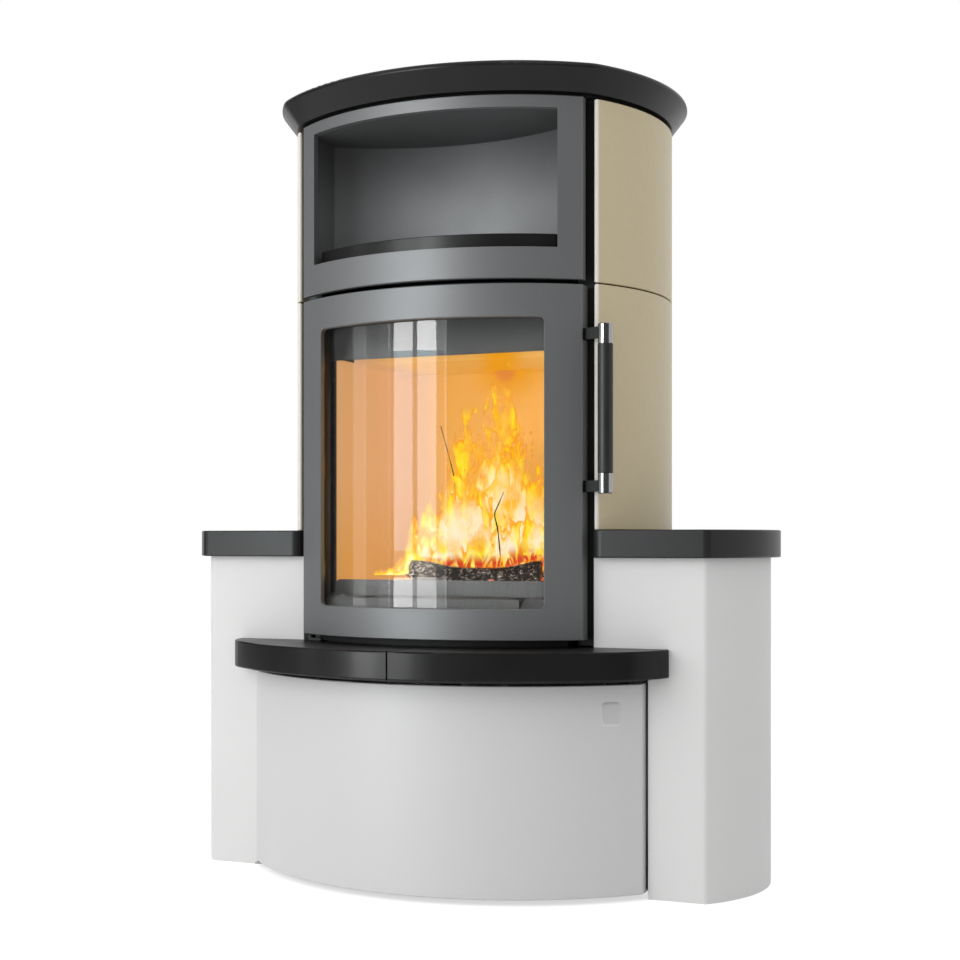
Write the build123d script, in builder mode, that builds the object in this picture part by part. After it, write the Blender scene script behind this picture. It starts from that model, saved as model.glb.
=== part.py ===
from build123d import *
from math import atan2, cos, degrees, hypot, radians, sin, sqrt, tan
import os

os.makedirs("parts", exist_ok=True)

# A tiled stove: a bowed steel front with a fire door and an open warming compartment,
# cream tiles at both sides, a dark top plate, and two white side wings with dark slabs.
# Millimetres. X is to the right, Y to the back, Z up. The origin is on the floor, below
# the middle of the whole stove.

# ---------------------------------------------------------------- driving dimensions
# Plan. The oval line runs left to right through the middle of the tiled body.
REAR_REACH = 230.0         # oval line to the flat rear
BOW_BACK = 148.4           # oval line to the common centre of the front bows
DOOR_BOW = 416.0           # radius of the steel front
STEEL_EDGE = 172.0         # oval line to the side edges of the steel front
PANEL_BOW = 475.5          # radius of the base door
BEARER_BOW = 479.0         # radius of the cabinet's top plate
SILL_BOW = 521.0           # radius of the sill
PLATE_BOW = 446.0          # radius of the top plate
TILE_BACK = 20.0           # oval line to the centre of the tiled sides
TILE_RADIUS = 329.5
TILE_THICK = 26.0
TILE_NOSE_X = 267.0        # where the tile starts beside the steel front
TILE_NOSE = 4.0            # radius of its front edge
PLATE_OVERHANG = 26.5      # top plate beyond the tiles

# Wings
WING_FRONT = 158.9         # oval line to the wings' front plane
WING_ARC_X = 272.8         # centre of the wing's round side
WING_ARC_RADIUS = 237.6
WING_CORNER = 10.0
WING_HEIGHT = 541.0
WING_WALL = 30.0
WING_GAP = 5.4             # base door to the wing's inner edge
WING_HIGH_X = 265.0        # inner edge beside the fire door
SLAB_THICK = 45.0
SLAB_OVERHANG = 16.4
SLAB_INNER_CORNER = 18.0   # leaves room for the open fire door

# Base
FOOT_HEIGHT = 8.0
BASE_DOOR_HALF = 350.6
BASE_DOOR_LOW = 10.0
BASE_DOOR_HIGH = 342.0
BASE_DOOR_THICK = 14.0
STIFFENER_HEIGHT = 30.0
CABINET_LAP = 2.4          # cabinet's side beyond the base door's edge
BEARER_THICK = 6.0
BEARER_TOP = 352.0
SILL_THICK = 45.0
SILL_END_DEPTH = 78.6      # the sill's rounded end starts this far in front of the wings
SILL_END_LENGTH = 40.4     # and runs this far to the side
SILL_JOINT = 3.0
SHEET = 3.0
CABINET_SETBACK = 34.0     # cabinet's front edge behind the steel front's edges
FOOT_RADIUS = 20.0
BASE_PIN_INSET = 6.6       # pin's axis from the base door's edge
BASE_PIN_RADIUS = 3.0
BASE_PIN_DEPTH = 12.0
BADGE_SIDE = 24.0
BADGE_ANGLE = 33.5         # round the bow centre, from straight ahead
BADGE_DROP = 44.0          # badge centre below the base door's top
BADGE_THICK = 1.2

# Body
CASING_SETBACK = 30.0      # flat back of the body in front of the flat rear
STRIP_X = 262.0            # outer face of the black strip beside the front
STRIP_SETBACK = 24.0       # strip's front edge behind the steel front's edges

# Fire door
DOOR_HALF = 253.7
DOOR_LOW = 409.0
DOOR_HIGH = 978.0
DOOR_SKIN = 8.0
DOOR_DEPTH = 20.0
DOOR_CORE_HALF = 230.0     # half width of the thick inner ring at the hinge side
WINDOW_HALF = 200.8
WINDOW_LOW = 459.5
WINDOW_HIGH = 925.0
WINDOW_CORNER = 8.0
GLASS_THICK = 4.0
GLASS_LAP = 11.0           # glass behind the window's edge
GASKET_THICK = 1.5
ROPE = 8.0
HINGE_X = -243.0
PIN_RADIUS = 4.0
EYE_RADIUS = 8.0
EYE_HEIGHT = 25.0
LATCH_X = 248.5
LATCH_BEHIND = 6.0         # latch shaft behind the steel front's edges
LATCH_SHAFT = 4.0
TONGUE_REACH = 13.0

# Handle
GRIP_X = 296.0
GRIP_FORWARD = 20.0        # grip's axis in front of the steel front's edges
GRIP_RADIUS = 12.2
GRIP_LIFT = 89.0           # grip above the wing's slab
GRIP_LENGTH = 205.0
CAP_LENGTH = 32.0
CAP_RADIUS = 11.6
LUG_HEIGHT = 18.0
LUG_THICK = 6.0
LUG_INSET = 12.5           # lug's middle from the far end of its cap

# Upper front and warming compartment
FRAME_LOW = 986.0
FRAME_HIGH = 1278.0
FRAME_THICK = 12.0
RECESS_HALF = 220.0
RECESS_LOW = 1036.0
RECESS_HIGH = 1258.0
RECESS_WALL_X = 231.0
RECESS_BACK = 38.0         # oval line to the deepest point of the compartment, in front
RECESS_BACK_RADIUS = 400.0
SHELF_THICK = 24.0
SHELF_BOW = 400.0
SHELF_HALF = 214.0

# Tiles and top
TILE_JOINT_Z = 980.0
TILE_JOINT = 2.5
TILE_TOP = 1276.0
SPACER_LOW = 1279.0
SPACER_INSET = 9.0
PLATE_LOW = 1283.0
PLATE_HIGH = 1325.0
PLATE_RIM = 9.0            # upright rim above the slanted underside
PLATE_SLANT = 25.5         # how far the underside draws in
PLATE_FRONT_CORNER = 70.0
PLATE_REAR_CORNER = 36.0

# Firebox
BOX_HALF = 222.0
BOX_BACK = 165.0           # firebox back behind the oval line
BOX_SHEET = 4.0
BOX_LOW = 436.0
BOX_HIGH = 972.0
FRONT_FRAME_HALF = 226.0
FRONT_FRAME_BOW = 392.0
FRONT_FRAME_THICK = 8.0
FRONT_FRAME_LOW = 399.0
MOUTH_HALF = 208.0
MOUTH_LOW = 440.0
MOUTH_HIGH = 932.0
BACK_BRICK = 25.0
SIDE_BRICK = 19.0
HEARTH_TOP = 497.0
HEARTH_THICK = 18.0
LINING_TOP = 880.0
INNER_PLATE_Y = 150.0      # the flat plates behind the glass, in front of the oval line
GUARD_TOP = 502.0
GUARD_INSET = 12.0         # log guard's ends from the firebox sides
GRATE_HALF_X = 109.0
GRATE_DEPTH = 158.0
PAN_WIDTH = 300.0
PAN_LENGTH = 290.0
PAN_FORWARD = 195.0        # ash pan's front before the oval line
LOG_RADIUS = 21.0
LOG_LENGTH = 270.0

# Flue and air
SMOKE_BOX_HALF = 165.0
SMOKE_BOX_HEIGHT = 250.0
FLUE_RADIUS = 76.0
FLUE_Z = 1110.0
AIR_INLET_RADIUS = 50.0
AIR_INLET_Z = 230.0
COLLAR_WALL = 2.0
AIR_BOX_HALF = 80.0
AIR_BOX_LOW = 170.0
AIR_SLOT_LENGTH = 120.0
AIR_SLOT_WIDTH = 46.0
AIR_ROD_Z = 328.0
AIR_ROD_RADIUS = 5.0
AIR_TRAVEL = 50.0

# Clearances
RUN_GAP = 0.06             # radial play of a pin in its eye
MOVE_GAP = 0.5             # between a moving piece and its neighbour
SEAT_GAP = 0.3             # between bowed faces that only lie near each other
EDGE_BREAK = 1.2           # small chamfer that takes the sharpness off an edge

# ---------------------------------------------------------------- derived places
oval_y = (SILL_BOW - BOW_BACK - REAR_REACH) / 2
bow_y = oval_y + BOW_BACK
tile_y = oval_y + TILE_BACK
front_y = oval_y - WING_FRONT
edge_y = oval_y - STEEL_EDGE
rear_y = oval_y + REAR_REACH
casing_radius = TILE_RADIUS - TILE_THICK - SHEET
casing_rear_y = rear_y - CASING_SETBACK
cabinet_front = edge_y + CABINET_SETBACK
sill_low = BEARER_TOP
sill_high = BEARER_TOP + SILL_THICK
slab_top = WING_HEIGHT + SLAB_THICK
grip_low = slab_top + GRIP_LIFT
grip_high = grip_low + GRIP_LENGTH
lug_low_z = grip_low - CAP_LENGTH + LUG_INSET
lug_high_z = grip_high + CAP_LENGTH - LUG_INSET
bearer_low = BEARER_TOP - BEARER_THICK
wing_low_x = BASE_DOOR_HALF + WING_GAP
cabinet_half = BASE_DOOR_HALF + CABINET_LAP
base_pin_x = BASE_PIN_INSET - BASE_DOOR_HALF
hinge_y = edge_y
latch_y = edge_y + LATCH_BEHIND
grip_y = edge_y - GRIP_FORWARD
rope_line = (FRONT_FRAME_HALF + WINDOW_HALF + GLASS_LAP + 3.0) / 2
hearth_low = HEARTH_TOP - HEARTH_THICK
box_back_y = oval_y + BOX_BACK
inner_plate_y = oval_y - INNER_PLATE_Y
air_slot_y = oval_y + 40.0
WIDE = 2000.0              # larger than the stove, for cutting shapes


# ---------------------------------------------------------------- plan shapes
def bow(radius, x):
    """Y of a front bow of this radius at x."""
    return bow_y - sqrt(radius**2 - x**2)


def bowed_strip(outer, inner, half):
    """Plan between two front bows, with sides that run front to back."""
    with BuildSketch() as plan:
        with BuildLine():
            ThreePointArc((-half, bow(outer, half)), (0, bow(outer, 0)), (half, bow(outer, half)))
            Line((half, bow(outer, half)), (half, bow(inner, half)))
            ThreePointArc((half, bow(inner, half)), (0, bow(inner, 0)), (-half, bow(inner, half)))
            Line((-half, bow(inner, half)), (-half, bow(outer, half)))
        make_face()
    return plan.sketch


def bowed_block(outer, half, back):
    """Plan with a bowed front, straight sides and a flat back."""
    with BuildSketch() as plan:
        with BuildLine():
            ThreePointArc((-half, bow(outer, half)), (0, bow(outer, 0)), (half, bow(outer, half)))
            Polyline(
                (half, bow(outer, half)),
                (half, back),
                (-half, back),
                (-half, bow(outer, half)),
            )
        make_face()
    return plan.sketch


def rectangle_between(x_low, x_high, y_low, y_high):
    """Rectangle given by its four sides."""
    with BuildSketch() as plan:
        with Locations(((x_low + x_high) / 2, (y_low + y_high) / 2)):
            Rectangle(x_high - x_low, y_high - y_low)
    return plan.sketch


def body_plan(front_radius, side_radius, back, front_blend=0.0, rear_blend=0.0):
    """Plan of the tiled body: the front bow, the round sides and the flat rear."""
    with BuildSketch() as plan:
        with Locations((0, bow_y)):
            Circle(front_radius)
        with Locations((0, tile_y)):
            Circle(side_radius, mode=Mode.INTERSECT)
        add(rectangle_between(-WIDE, WIDE, -WIDE, back), mode=Mode.INTERSECT)
        if rear_blend:
            fillet(plan.vertices().group_by(Axis.Y)[-1], rear_blend)
        if front_blend:
            fillet(plan.vertices().group_by(Axis.Y)[0], front_blend)
    return plan.sketch


def side_ring(outer, inner, x_front, back):
    """Right half of a ring round the tile centre, open at the front."""
    with BuildSketch() as plan:
        with Locations((0, tile_y)):
            Circle(outer)
            Circle(inner, mode=Mode.SUBTRACT)
        add(rectangle_between(0, WIDE, -WIDE, back), mode=Mode.INTERSECT)
        add(rectangle_between(0, x_front, -WIDE, tile_y), mode=Mode.SUBTRACT)
    return plan.sketch


def wing_plan(grow, inner_x, corner):
    """Plan of the right wing, grown outwards at its front and its round side."""
    front = front_y - grow
    arc_radius = WING_ARC_RADIUS + grow
    with BuildSketch() as plan:
        with Locations((WING_ARC_X, oval_y)):
            Circle(arc_radius)
        add(rectangle_between(WING_ARC_X, WIDE, front, rear_y), mode=Mode.INTERSECT)
        add(rectangle_between(inner_x, WING_ARC_X + arc_radius / 2, front, rear_y))
        add(rectangle_between(inner_x, WIDE, front, rear_y), mode=Mode.INTERSECT)
        outer_corner = plan.vertices().group_by(Axis.Y)[0].sort_by(Axis.X)[-1]
        fillet(outer_corner, corner)
    return plan.sketch


def half_sill_plan(gap):
    """Right half of the crescent sill, with its rounded end and the inner bow."""
    inner = FRONT_FRAME_BOW + gap
    inner_x = sqrt(inner**2 - (bow_y - front_y) ** 2)
    start_y = front_y - SILL_END_DEPTH
    start_x = sqrt(SILL_BOW**2 - (bow_y - start_y) ** 2)
    mid_x = start_x / 2
    end = (start_x + SILL_END_LENGTH, front_y - gap)
    with BuildSketch() as plan:
        with BuildLine():
            ThreePointArc((gap, bow(SILL_BOW, gap)), (mid_x, bow(SILL_BOW, mid_x)),
                          (start_x, start_y))
            TangentArc((start_x, start_y), end, tangent=(bow_y - start_y, start_x))
            Line(end, (inner_x, front_y - gap))
            ThreePointArc((inner_x, front_y - gap), (inner_x / 2, bow(inner, inner_x / 2)),
                          (gap, bow(inner, gap)))
            Line((gap, bow(inner, gap)), (gap, bow(SILL_BOW, gap)))
        make_face()
    return plan.sketch


def window(half, low, high, corner):
    """Upright opening in the front, seen from the front."""
    with BuildSketch() as opening:
        with Locations((0, (low + high) / 2)):
            RectangleRounded(2 * half, high - low, corner)
    return opening.sketch


pieces = {}


def keep(name, piece, mirrored=False):
    """Label a finished piece and remember it for writing."""
    piece.part.label = name
    pieces[name] = piece.part
    if mirrored:
        twin = mirror(piece.part, about=Plane.YZ)
        twin_name = name.replace("_right", "_left")
        twin.label = twin_name
        pieces[twin_name] = twin


# ---------------------------------------------------------------- wings and slabs
with BuildPart() as wing_right:
    with BuildSketch():
        add(wing_plan(0.0, WING_HIGH_X, WING_CORNER))
    extrude(amount=WING_HEIGHT)
    with BuildSketch():
        with Locations((WING_ARC_X, oval_y)):
            Circle(WING_ARC_RADIUS - WING_WALL)
        add(rectangle_between(WING_HIGH_X - 1, WING_ARC_X + WING_ARC_RADIUS / 2,
                              front_y, rear_y))
        add(rectangle_between(WING_HIGH_X - 1, WIDE, front_y + WING_WALL, rear_y - WING_WALL),
            mode=Mode.INTERSECT)
    extrude(amount=WING_HEIGHT, mode=Mode.SUBTRACT)
    with BuildSketch():
        add(rectangle_between(0, wing_low_x, front_y - 1, rear_y + 1))
    extrude(amount=sill_high, mode=Mode.SUBTRACT)
    fillet(
        wing_right.edges().filter_by(Axis.Z).group_by(Axis.Y)[0].group_by(Axis.X)[0],
        EDGE_BREAK,
    )
keep("wing_right", wing_right, mirrored=True)

with BuildPart() as wing_slab_right:
    with BuildSketch(Plane.XY.offset(WING_HEIGHT)):
        add(wing_plan(SLAB_OVERHANG, WING_HIGH_X, WING_CORNER + 6))
        with Locations((0, tile_y)):
            Circle(casing_radius + MOVE_GAP, mode=Mode.SUBTRACT)
    extrude(amount=SLAB_THICK)
    inner_corner = wing_slab_right.edges().filter_by(Axis.Z).group_by(Axis.X)[0]
    fillet(inner_corner.sort_by(Axis.Y)[0], SLAB_INNER_CORNER)
    outer_rims = wing_slab_right.edges().group_by(Axis.Z)
    fillet(
        [
            edge
            for rim in (outer_rims[0], outer_rims[-1])
            for edge in rim
            if edge.center().Y < oval_y + 100 and edge.center().X > WING_HIGH_X + 5
        ],
        2.5,
    )
keep("wing_slab_right", wing_slab_right, mirrored=True)

# ---------------------------------------------------------------- sill, in two halves
with BuildPart() as sill_right:
    with BuildSketch(Plane.XY.offset(sill_low)):
        add(half_sill_plan(SILL_JOINT / 2))
    extrude(amount=SILL_THICK)
    fillet(
        [
            edge
            for edge in sill_right.edges().filter_by(GeomType.CIRCLE)
            if edge.radius > 120 and abs(edge.radius - FRONT_FRAME_BOW) > 2
        ],
        2.5,
    )
keep("sill_right", sill_right, mirrored=True)

# ---------------------------------------------------------------- base cabinet
with BuildPart() as base_cabinet:
    with BuildSketch(Plane.XY.offset(FOOT_HEIGHT)):
        add(rectangle_between(-cabinet_half, cabinet_half, cabinet_front, casing_rear_y))
    extrude(amount=bearer_low - FOOT_HEIGHT)
    with BuildSketch(Plane.XY.offset(FOOT_HEIGHT + SHEET)):
        add(rectangle_between(SHEET - cabinet_half, cabinet_half - SHEET, cabinet_front - 1,
                              casing_rear_y - SHEET))
    extrude(amount=bearer_low, mode=Mode.SUBTRACT)
    with BuildSketch(Plane.XZ.offset(-casing_rear_y)):
        with Locations((0, AIR_INLET_Z)):
            Circle(AIR_INLET_RADIUS - COLLAR_WALL)
    extrude(amount=2 * SHEET, mode=Mode.SUBTRACT)
keep("base_cabinet", base_cabinet)

foot_span_x = 2 * (cabinet_half - 3 * FOOT_RADIUS)
foot_span_y = casing_rear_y - cabinet_front - 3 * FOOT_RADIUS
with BuildPart() as cabinet_feet:
    with BuildSketch():
        with Locations((0, (cabinet_front + casing_rear_y) / 2)):
            with GridLocations(foot_span_x, foot_span_y, 2, 2):
                Circle(FOOT_RADIUS)
    extrude(amount=FOOT_HEIGHT)
keep("cabinet_feet", cabinet_feet)

with BuildPart() as cabinet_top:
    with BuildSketch(Plane.XY.offset(bearer_low)):
        add(bowed_block(BEARER_BOW, cabinet_half, casing_rear_y))
        with Locations((0, air_slot_y)):
            SlotOverall(AIR_SLOT_LENGTH, AIR_SLOT_WIDTH, mode=Mode.SUBTRACT)
    extrude(amount=BEARER_THICK)
keep("cabinet_top", cabinet_top)

# ---------------------------------------------------------------- base door
base_pin = (base_pin_x, edge_y)
with BuildPart() as base_door:
    with BuildSketch(Plane.XY.offset(BASE_DOOR_LOW)):
        add(bowed_strip(PANEL_BOW, PANEL_BOW - BASE_DOOR_THICK, BASE_DOOR_HALF))
    extrude(amount=BASE_DOOR_HIGH - BASE_DOOR_LOW)
    rim = base_door.edges().filter_by(GeomType.CIRCLE)
    chamfer([edge for edge in rim if abs(edge.radius - PANEL_BOW) < 0.1], EDGE_BREAK)
    with BuildSketch(Plane.XY.offset(BASE_DOOR_LOW)):
        with Locations(base_pin):
            Circle(BASE_PIN_RADIUS + RUN_GAP)
    extrude(amount=BASE_PIN_DEPTH, mode=Mode.SUBTRACT)
    with BuildSketch(Plane.XY.offset(BASE_DOOR_HIGH)):
        with Locations(base_pin):
            Circle(BASE_PIN_RADIUS + RUN_GAP)
    extrude(amount=-BASE_PIN_DEPTH, mode=Mode.SUBTRACT)
keep("base_door", base_door)

stiffener_half = BASE_DOOR_HALF - 50.0
with BuildPart() as base_door_stiffener:
    for stiffener_low in (BASE_DOOR_LOW + 60.0, BASE_DOOR_HIGH - 60.0 - STIFFENER_HEIGHT):
        with BuildSketch(Plane.XY.offset(stiffener_low)):
            add(bowed_strip(PANEL_BOW - BASE_DOOR_THICK, PANEL_BOW - BASE_DOOR_THICK - SHEET,
                            stiffener_half))
        extrude(amount=STIFFENER_HEIGHT)
keep("base_door_stiffener", base_door_stiffener)

badge_sin = sin(radians(BADGE_ANGLE))
badge_cos = cos(radians(BADGE_ANGLE))
badge_plane = Plane(
    origin=(PANEL_BOW * badge_sin, bow_y - PANEL_BOW * badge_cos, BASE_DOOR_HIGH - BADGE_DROP),
    x_dir=(badge_cos, badge_sin, 0),
    z_dir=(badge_sin, -badge_cos, 0),
)
with BuildPart() as badge_plate:
    with BuildSketch(badge_plane):
        RectangleRounded(BADGE_SIDE, BADGE_SIDE, 4)
    extrude(amount=BADGE_THICK)
    chamfer(badge_plate.faces().sort_by(Axis.Y)[0].edges(), BADGE_THICK / 3)
keep("badge_plate", badge_plate)

with BuildPart() as base_door_pins:
    bracket_low = FOOT_HEIGHT - SHEET
    with BuildSketch(Plane.XY.offset(bracket_low)):
        add(rectangle_between(base_pin_x - 7, base_pin_x + 7, edge_y - 7, cabinet_front + 30))
    extrude(amount=SHEET)
    with BuildSketch(Plane.XY.offset(bracket_low)):
        with Locations(base_pin):
            Circle(BASE_PIN_RADIUS)
    extrude(amount=BASE_DOOR_LOW + BASE_PIN_DEPTH - bracket_low - 1)
    with BuildSketch(Plane.XY.offset(BASE_DOOR_HIGH - BASE_PIN_DEPTH + 1)):
        with Locations(base_pin):
            Circle(BASE_PIN_RADIUS)
    extrude(amount=bearer_low - BASE_DOOR_HIGH + BASE_PIN_DEPTH - 1)
keep("base_door_pins", base_door_pins)

catch_x = BASE_DOOR_HALF - 45.0
catch_half = 10.0
catch_y = bow(PANEL_BOW - BASE_DOOR_THICK, catch_x + catch_half) + MOVE_GAP
with BuildPart() as base_door_catch:
    with BuildSketch(Plane.XY.offset(bearer_low - 24)):
        add(rectangle_between(catch_x - catch_half, catch_x + catch_half, catch_y,
                              cabinet_front + 10))
    extrude(amount=24)
keep("base_door_catch", base_door_catch)

# ---------------------------------------------------------------- body: plinth, casing, strips
with BuildPart() as body_plinth:
    with BuildSketch(Plane.XY.offset(BEARER_TOP)):
        add(bowed_block(FRONT_FRAME_BOW - FRONT_FRAME_THICK, BOX_HALF, box_back_y))
        add(bowed_block(FRONT_FRAME_BOW - FRONT_FRAME_THICK - SHEET, BOX_HALF - SHEET,
                        box_back_y - SHEET), mode=Mode.SUBTRACT)
    extrude(amount=BOX_LOW - BEARER_TOP)
keep("body_plinth", body_plinth)

strip_in = STRIP_X - SHEET
flange_y = edge_y + STRIP_SETBACK
flange_x = RECESS_WALL_X + SHEET + MOVE_GAP
strip_back = tile_y - sqrt(casing_radius**2 - strip_in**2)
with BuildPart() as casing_side_right:
    with BuildSketch(Plane.XY.offset(BEARER_TOP)):
        add(side_ring(casing_radius, casing_radius - SHEET, strip_in, casing_rear_y))
    extrude(amount=SPACER_LOW - BEARER_TOP)
keep("casing_side_right", casing_side_right, mirrored=True)

with BuildPart() as side_strip_right:
    with BuildSketch(Plane.XY.offset(sill_high + 2)):
        add(rectangle_between(strip_in, STRIP_X, flange_y, strip_back))
        add(rectangle_between(flange_x, STRIP_X, flange_y, flange_y + SHEET))
    extrude(amount=SPACER_LOW - sill_high - 2)
keep("side_strip_right", side_strip_right, mirrored=True)

with BuildPart() as back_panel:
    back_half = sqrt((casing_radius - SHEET) ** 2 - (casing_rear_y - tile_y) ** 2) - MOVE_GAP
    with BuildSketch(Plane.XY.offset(BEARER_TOP)):
        add(rectangle_between(-back_half, back_half, casing_rear_y - SHEET, casing_rear_y))
    extrude(amount=SPACER_LOW - BEARER_TOP)
    with BuildSketch(Plane.XZ.offset(-casing_rear_y)):
        with Locations((0, FLUE_Z)):
            Circle(FLUE_RADIUS + COLLAR_WALL + MOVE_GAP)
        with Locations((0, 1225), (0, 900), (0, 700)):
            with GridLocations(36, 1, 9, 1):
                SlotOverall(24, 5, rotation=90)
    extrude(amount=2 * SHEET, mode=Mode.SUBTRACT)
keep("back_panel", back_panel)

# ---------------------------------------------------------------- tiles
for tile_name, tile_low, tile_high in (
    ("tile_lower", slab_top, TILE_JOINT_Z),
    ("tile_upper", TILE_JOINT_Z + TILE_JOINT, TILE_TOP),
):
    with BuildPart() as tile_right:
        with BuildSketch(Plane.XY.offset(tile_low)) as tile_sketch:
            add(side_ring(TILE_RADIUS, TILE_RADIUS - TILE_THICK, TILE_NOSE_X, rear_y))
            fillet(tile_sketch.vertices().group_by(Axis.Y)[0], TILE_NOSE)
        extrude(amount=tile_high - tile_low)
        outer_arcs = [
            edge
            for edge in tile_right.edges().filter_by(GeomType.CIRCLE)
            if abs(edge.radius - TILE_RADIUS) < 0.1
        ]
        chamfer(outer_arcs, EDGE_BREAK)
    keep(tile_name + "_right", tile_right, mirrored=True)

seal_inner = TILE_RADIUS - TILE_THICK + 3
with BuildPart() as tile_seals:
    with BuildSketch(Plane.XY.offset(TILE_JOINT_Z)):
        add(side_ring(TILE_RADIUS - 5, seal_inner, TILE_NOSE_X + 3, rear_y - 3))
    extrude(amount=TILE_JOINT)
    with BuildSketch(Plane.XY.offset(TILE_TOP)):
        add(side_ring(TILE_RADIUS - SPACER_INSET, seal_inner, TILE_NOSE_X + 6,
                      rear_y - SPACER_INSET))
    extrude(amount=SPACER_LOW - TILE_TOP)
    mirror(about=Plane.YZ)
keep("tile_seals", tile_seals)

# ---------------------------------------------------------------- top
with BuildPart() as top_spacer:
    with BuildSketch(Plane.XY.offset(SPACER_LOW)):
        add(body_plan(DOOR_BOW - SPACER_INSET, TILE_RADIUS - SPACER_INSET, rear_y - SPACER_INSET))
    extrude(amount=PLATE_LOW - SPACER_LOW)
keep("top_spacer", top_spacer)

slant_high = PLATE_HIGH - PLATE_RIM


def plate_plan(inset):
    """Plan of the top plate, drawn in by an inset."""
    return body_plan(
        PLATE_BOW - inset,
        TILE_RADIUS + PLATE_OVERHANG - inset,
        rear_y - inset,
        front_blend=PLATE_FRONT_CORNER - inset,
        rear_blend=PLATE_REAR_CORNER - inset,
    )


with BuildPart() as top_plate:
    with BuildSketch(Plane.XY.offset(slant_high)):
        add(plate_plan(0))
    with BuildSketch(Plane.XY.offset(PLATE_LOW)):
        add(plate_plan(PLATE_SLANT))
    loft(ruled=True)
    with BuildSketch(Plane.XY.offset(slant_high)):
        add(plate_plan(0))
    extrude(amount=PLATE_RIM)
    fillet(top_plate.faces().sort_by(Axis.Z)[-1].edges(), PLATE_RIM - 1.5)
keep("top_plate", top_plate)

# ---------------------------------------------------------------- upper front
with BuildPart() as upper_front_frame:
    with BuildSketch(Plane.XY.offset(FRAME_LOW)):
        add(bowed_strip(DOOR_BOW, DOOR_BOW - FRAME_THICK, DOOR_HALF))
    extrude(amount=FRAME_HIGH - FRAME_LOW)
    with BuildSketch(Plane.XZ):
        add(window(RECESS_HALF, RECESS_LOW, RECESS_HIGH, 1.5))
    extrude(amount=WIDE / 2, mode=Mode.SUBTRACT)
    front_face_edges = upper_front_frame.faces().filter_by(GeomType.CYLINDER).sort_by(Axis.Y)[0]
    chamfer(front_face_edges.outer_wire().edges(), EDGE_BREAK)
keep("upper_front_frame", upper_front_frame)

recess_back_y = oval_y - RECESS_BACK
recess_centre_y = recess_back_y - RECESS_BACK_RADIUS


def recess_plan(front, wall):
    """Plan of the warming compartment, grown by a wall thickness."""
    half = RECESS_WALL_X + wall
    with BuildSketch() as plan:
        with Locations((0, recess_centre_y)):
            Circle(RECESS_BACK_RADIUS + wall)
        add(rectangle_between(-half, half, -WIDE, WIDE), mode=Mode.INTERSECT)
        with Locations((0, bow_y)):
            Circle(front, mode=Mode.INTERSECT)
    return plan.sketch


with BuildPart() as recess_liner:
    with BuildSketch(Plane.XY.offset(RECESS_LOW - SHEET)):
        add(recess_plan(DOOR_BOW - FRAME_THICK, SHEET))
    extrude(amount=RECESS_HIGH - RECESS_LOW + 2 * SHEET)
    with BuildSketch(Plane.XY.offset(RECESS_LOW)):
        add(recess_plan(DOOR_BOW, 0))
    extrude(amount=RECESS_HIGH - RECESS_LOW, mode=Mode.SUBTRACT)
keep("recess_liner", recess_liner)

with BuildPart() as recess_shelf:
    with BuildSketch(Plane.XY.offset(RECESS_LOW)) as shelf_plan:
        with Locations((0, recess_centre_y)):
            Circle(RECESS_BACK_RADIUS - 3)
        add(rectangle_between(-SHELF_HALF, SHELF_HALF, -WIDE, WIDE), mode=Mode.INTERSECT)
        with Locations((0, bow_y)):
            Circle(SHELF_BOW, mode=Mode.INTERSECT)
        fillet(shelf_plan.vertices().group_by(Axis.Y)[0], 7)
    extrude(amount=SHELF_THICK)
    fillet(recess_shelf.faces().sort_by(Axis.Z)[-1].edges(), 1.5)
keep("recess_shelf", recess_shelf)

# ---------------------------------------------------------------- firebox
with BuildPart() as front_frame:
    with BuildSketch(Plane.XY.offset(FRONT_FRAME_LOW)):
        add(bowed_strip(FRONT_FRAME_BOW, FRONT_FRAME_BOW - FRONT_FRAME_THICK, FRONT_FRAME_HALF))
    extrude(amount=DOOR_HIGH + 5 - FRONT_FRAME_LOW)
    with BuildSketch(Plane.XZ):
        add(window(MOUTH_HALF, MOUTH_LOW, MOUTH_HIGH, 6))
    extrude(amount=WIDE / 2, mode=Mode.SUBTRACT)
keep("front_frame", front_frame)

box_bow = FRONT_FRAME_BOW - FRONT_FRAME_THICK
ledge_high = hearth_low
with BuildPart() as firebox_shell:
    with BuildSketch(Plane.XY.offset(BOX_LOW)):
        add(bowed_block(box_bow, BOX_HALF, box_back_y))
    extrude(amount=BOX_HIGH - BOX_LOW)
    with BuildSketch(Plane.XY.offset(BOX_LOW + BOX_SHEET)):
        add(bowed_block(DOOR_BOW, BOX_HALF - BOX_SHEET, box_back_y - BOX_SHEET))
    extrude(amount=BOX_HIGH - BOX_LOW - 2 * BOX_SHEET, mode=Mode.SUBTRACT)
    with BuildSketch(Plane.XY.offset(ledge_high - BOX_SHEET)):
        add(rectangle_between(-BOX_HALF, BOX_HALF, inner_plate_y + SHEET, box_back_y))
        with Locations((0, oval_y - 10)):
            Rectangle(2 * GRATE_HALF_X - 16, GRATE_DEPTH - 16, mode=Mode.SUBTRACT)
    extrude(amount=BOX_SHEET)
    with BuildSketch(Plane.XY.offset(BOX_HIGH - 2 * BOX_SHEET)):
        add(rectangle_between(-140, 140, oval_y + 30, oval_y + 140))
    extrude(amount=4 * BOX_SHEET, mode=Mode.SUBTRACT)
keep("firebox_shell", firebox_shell)

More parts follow.
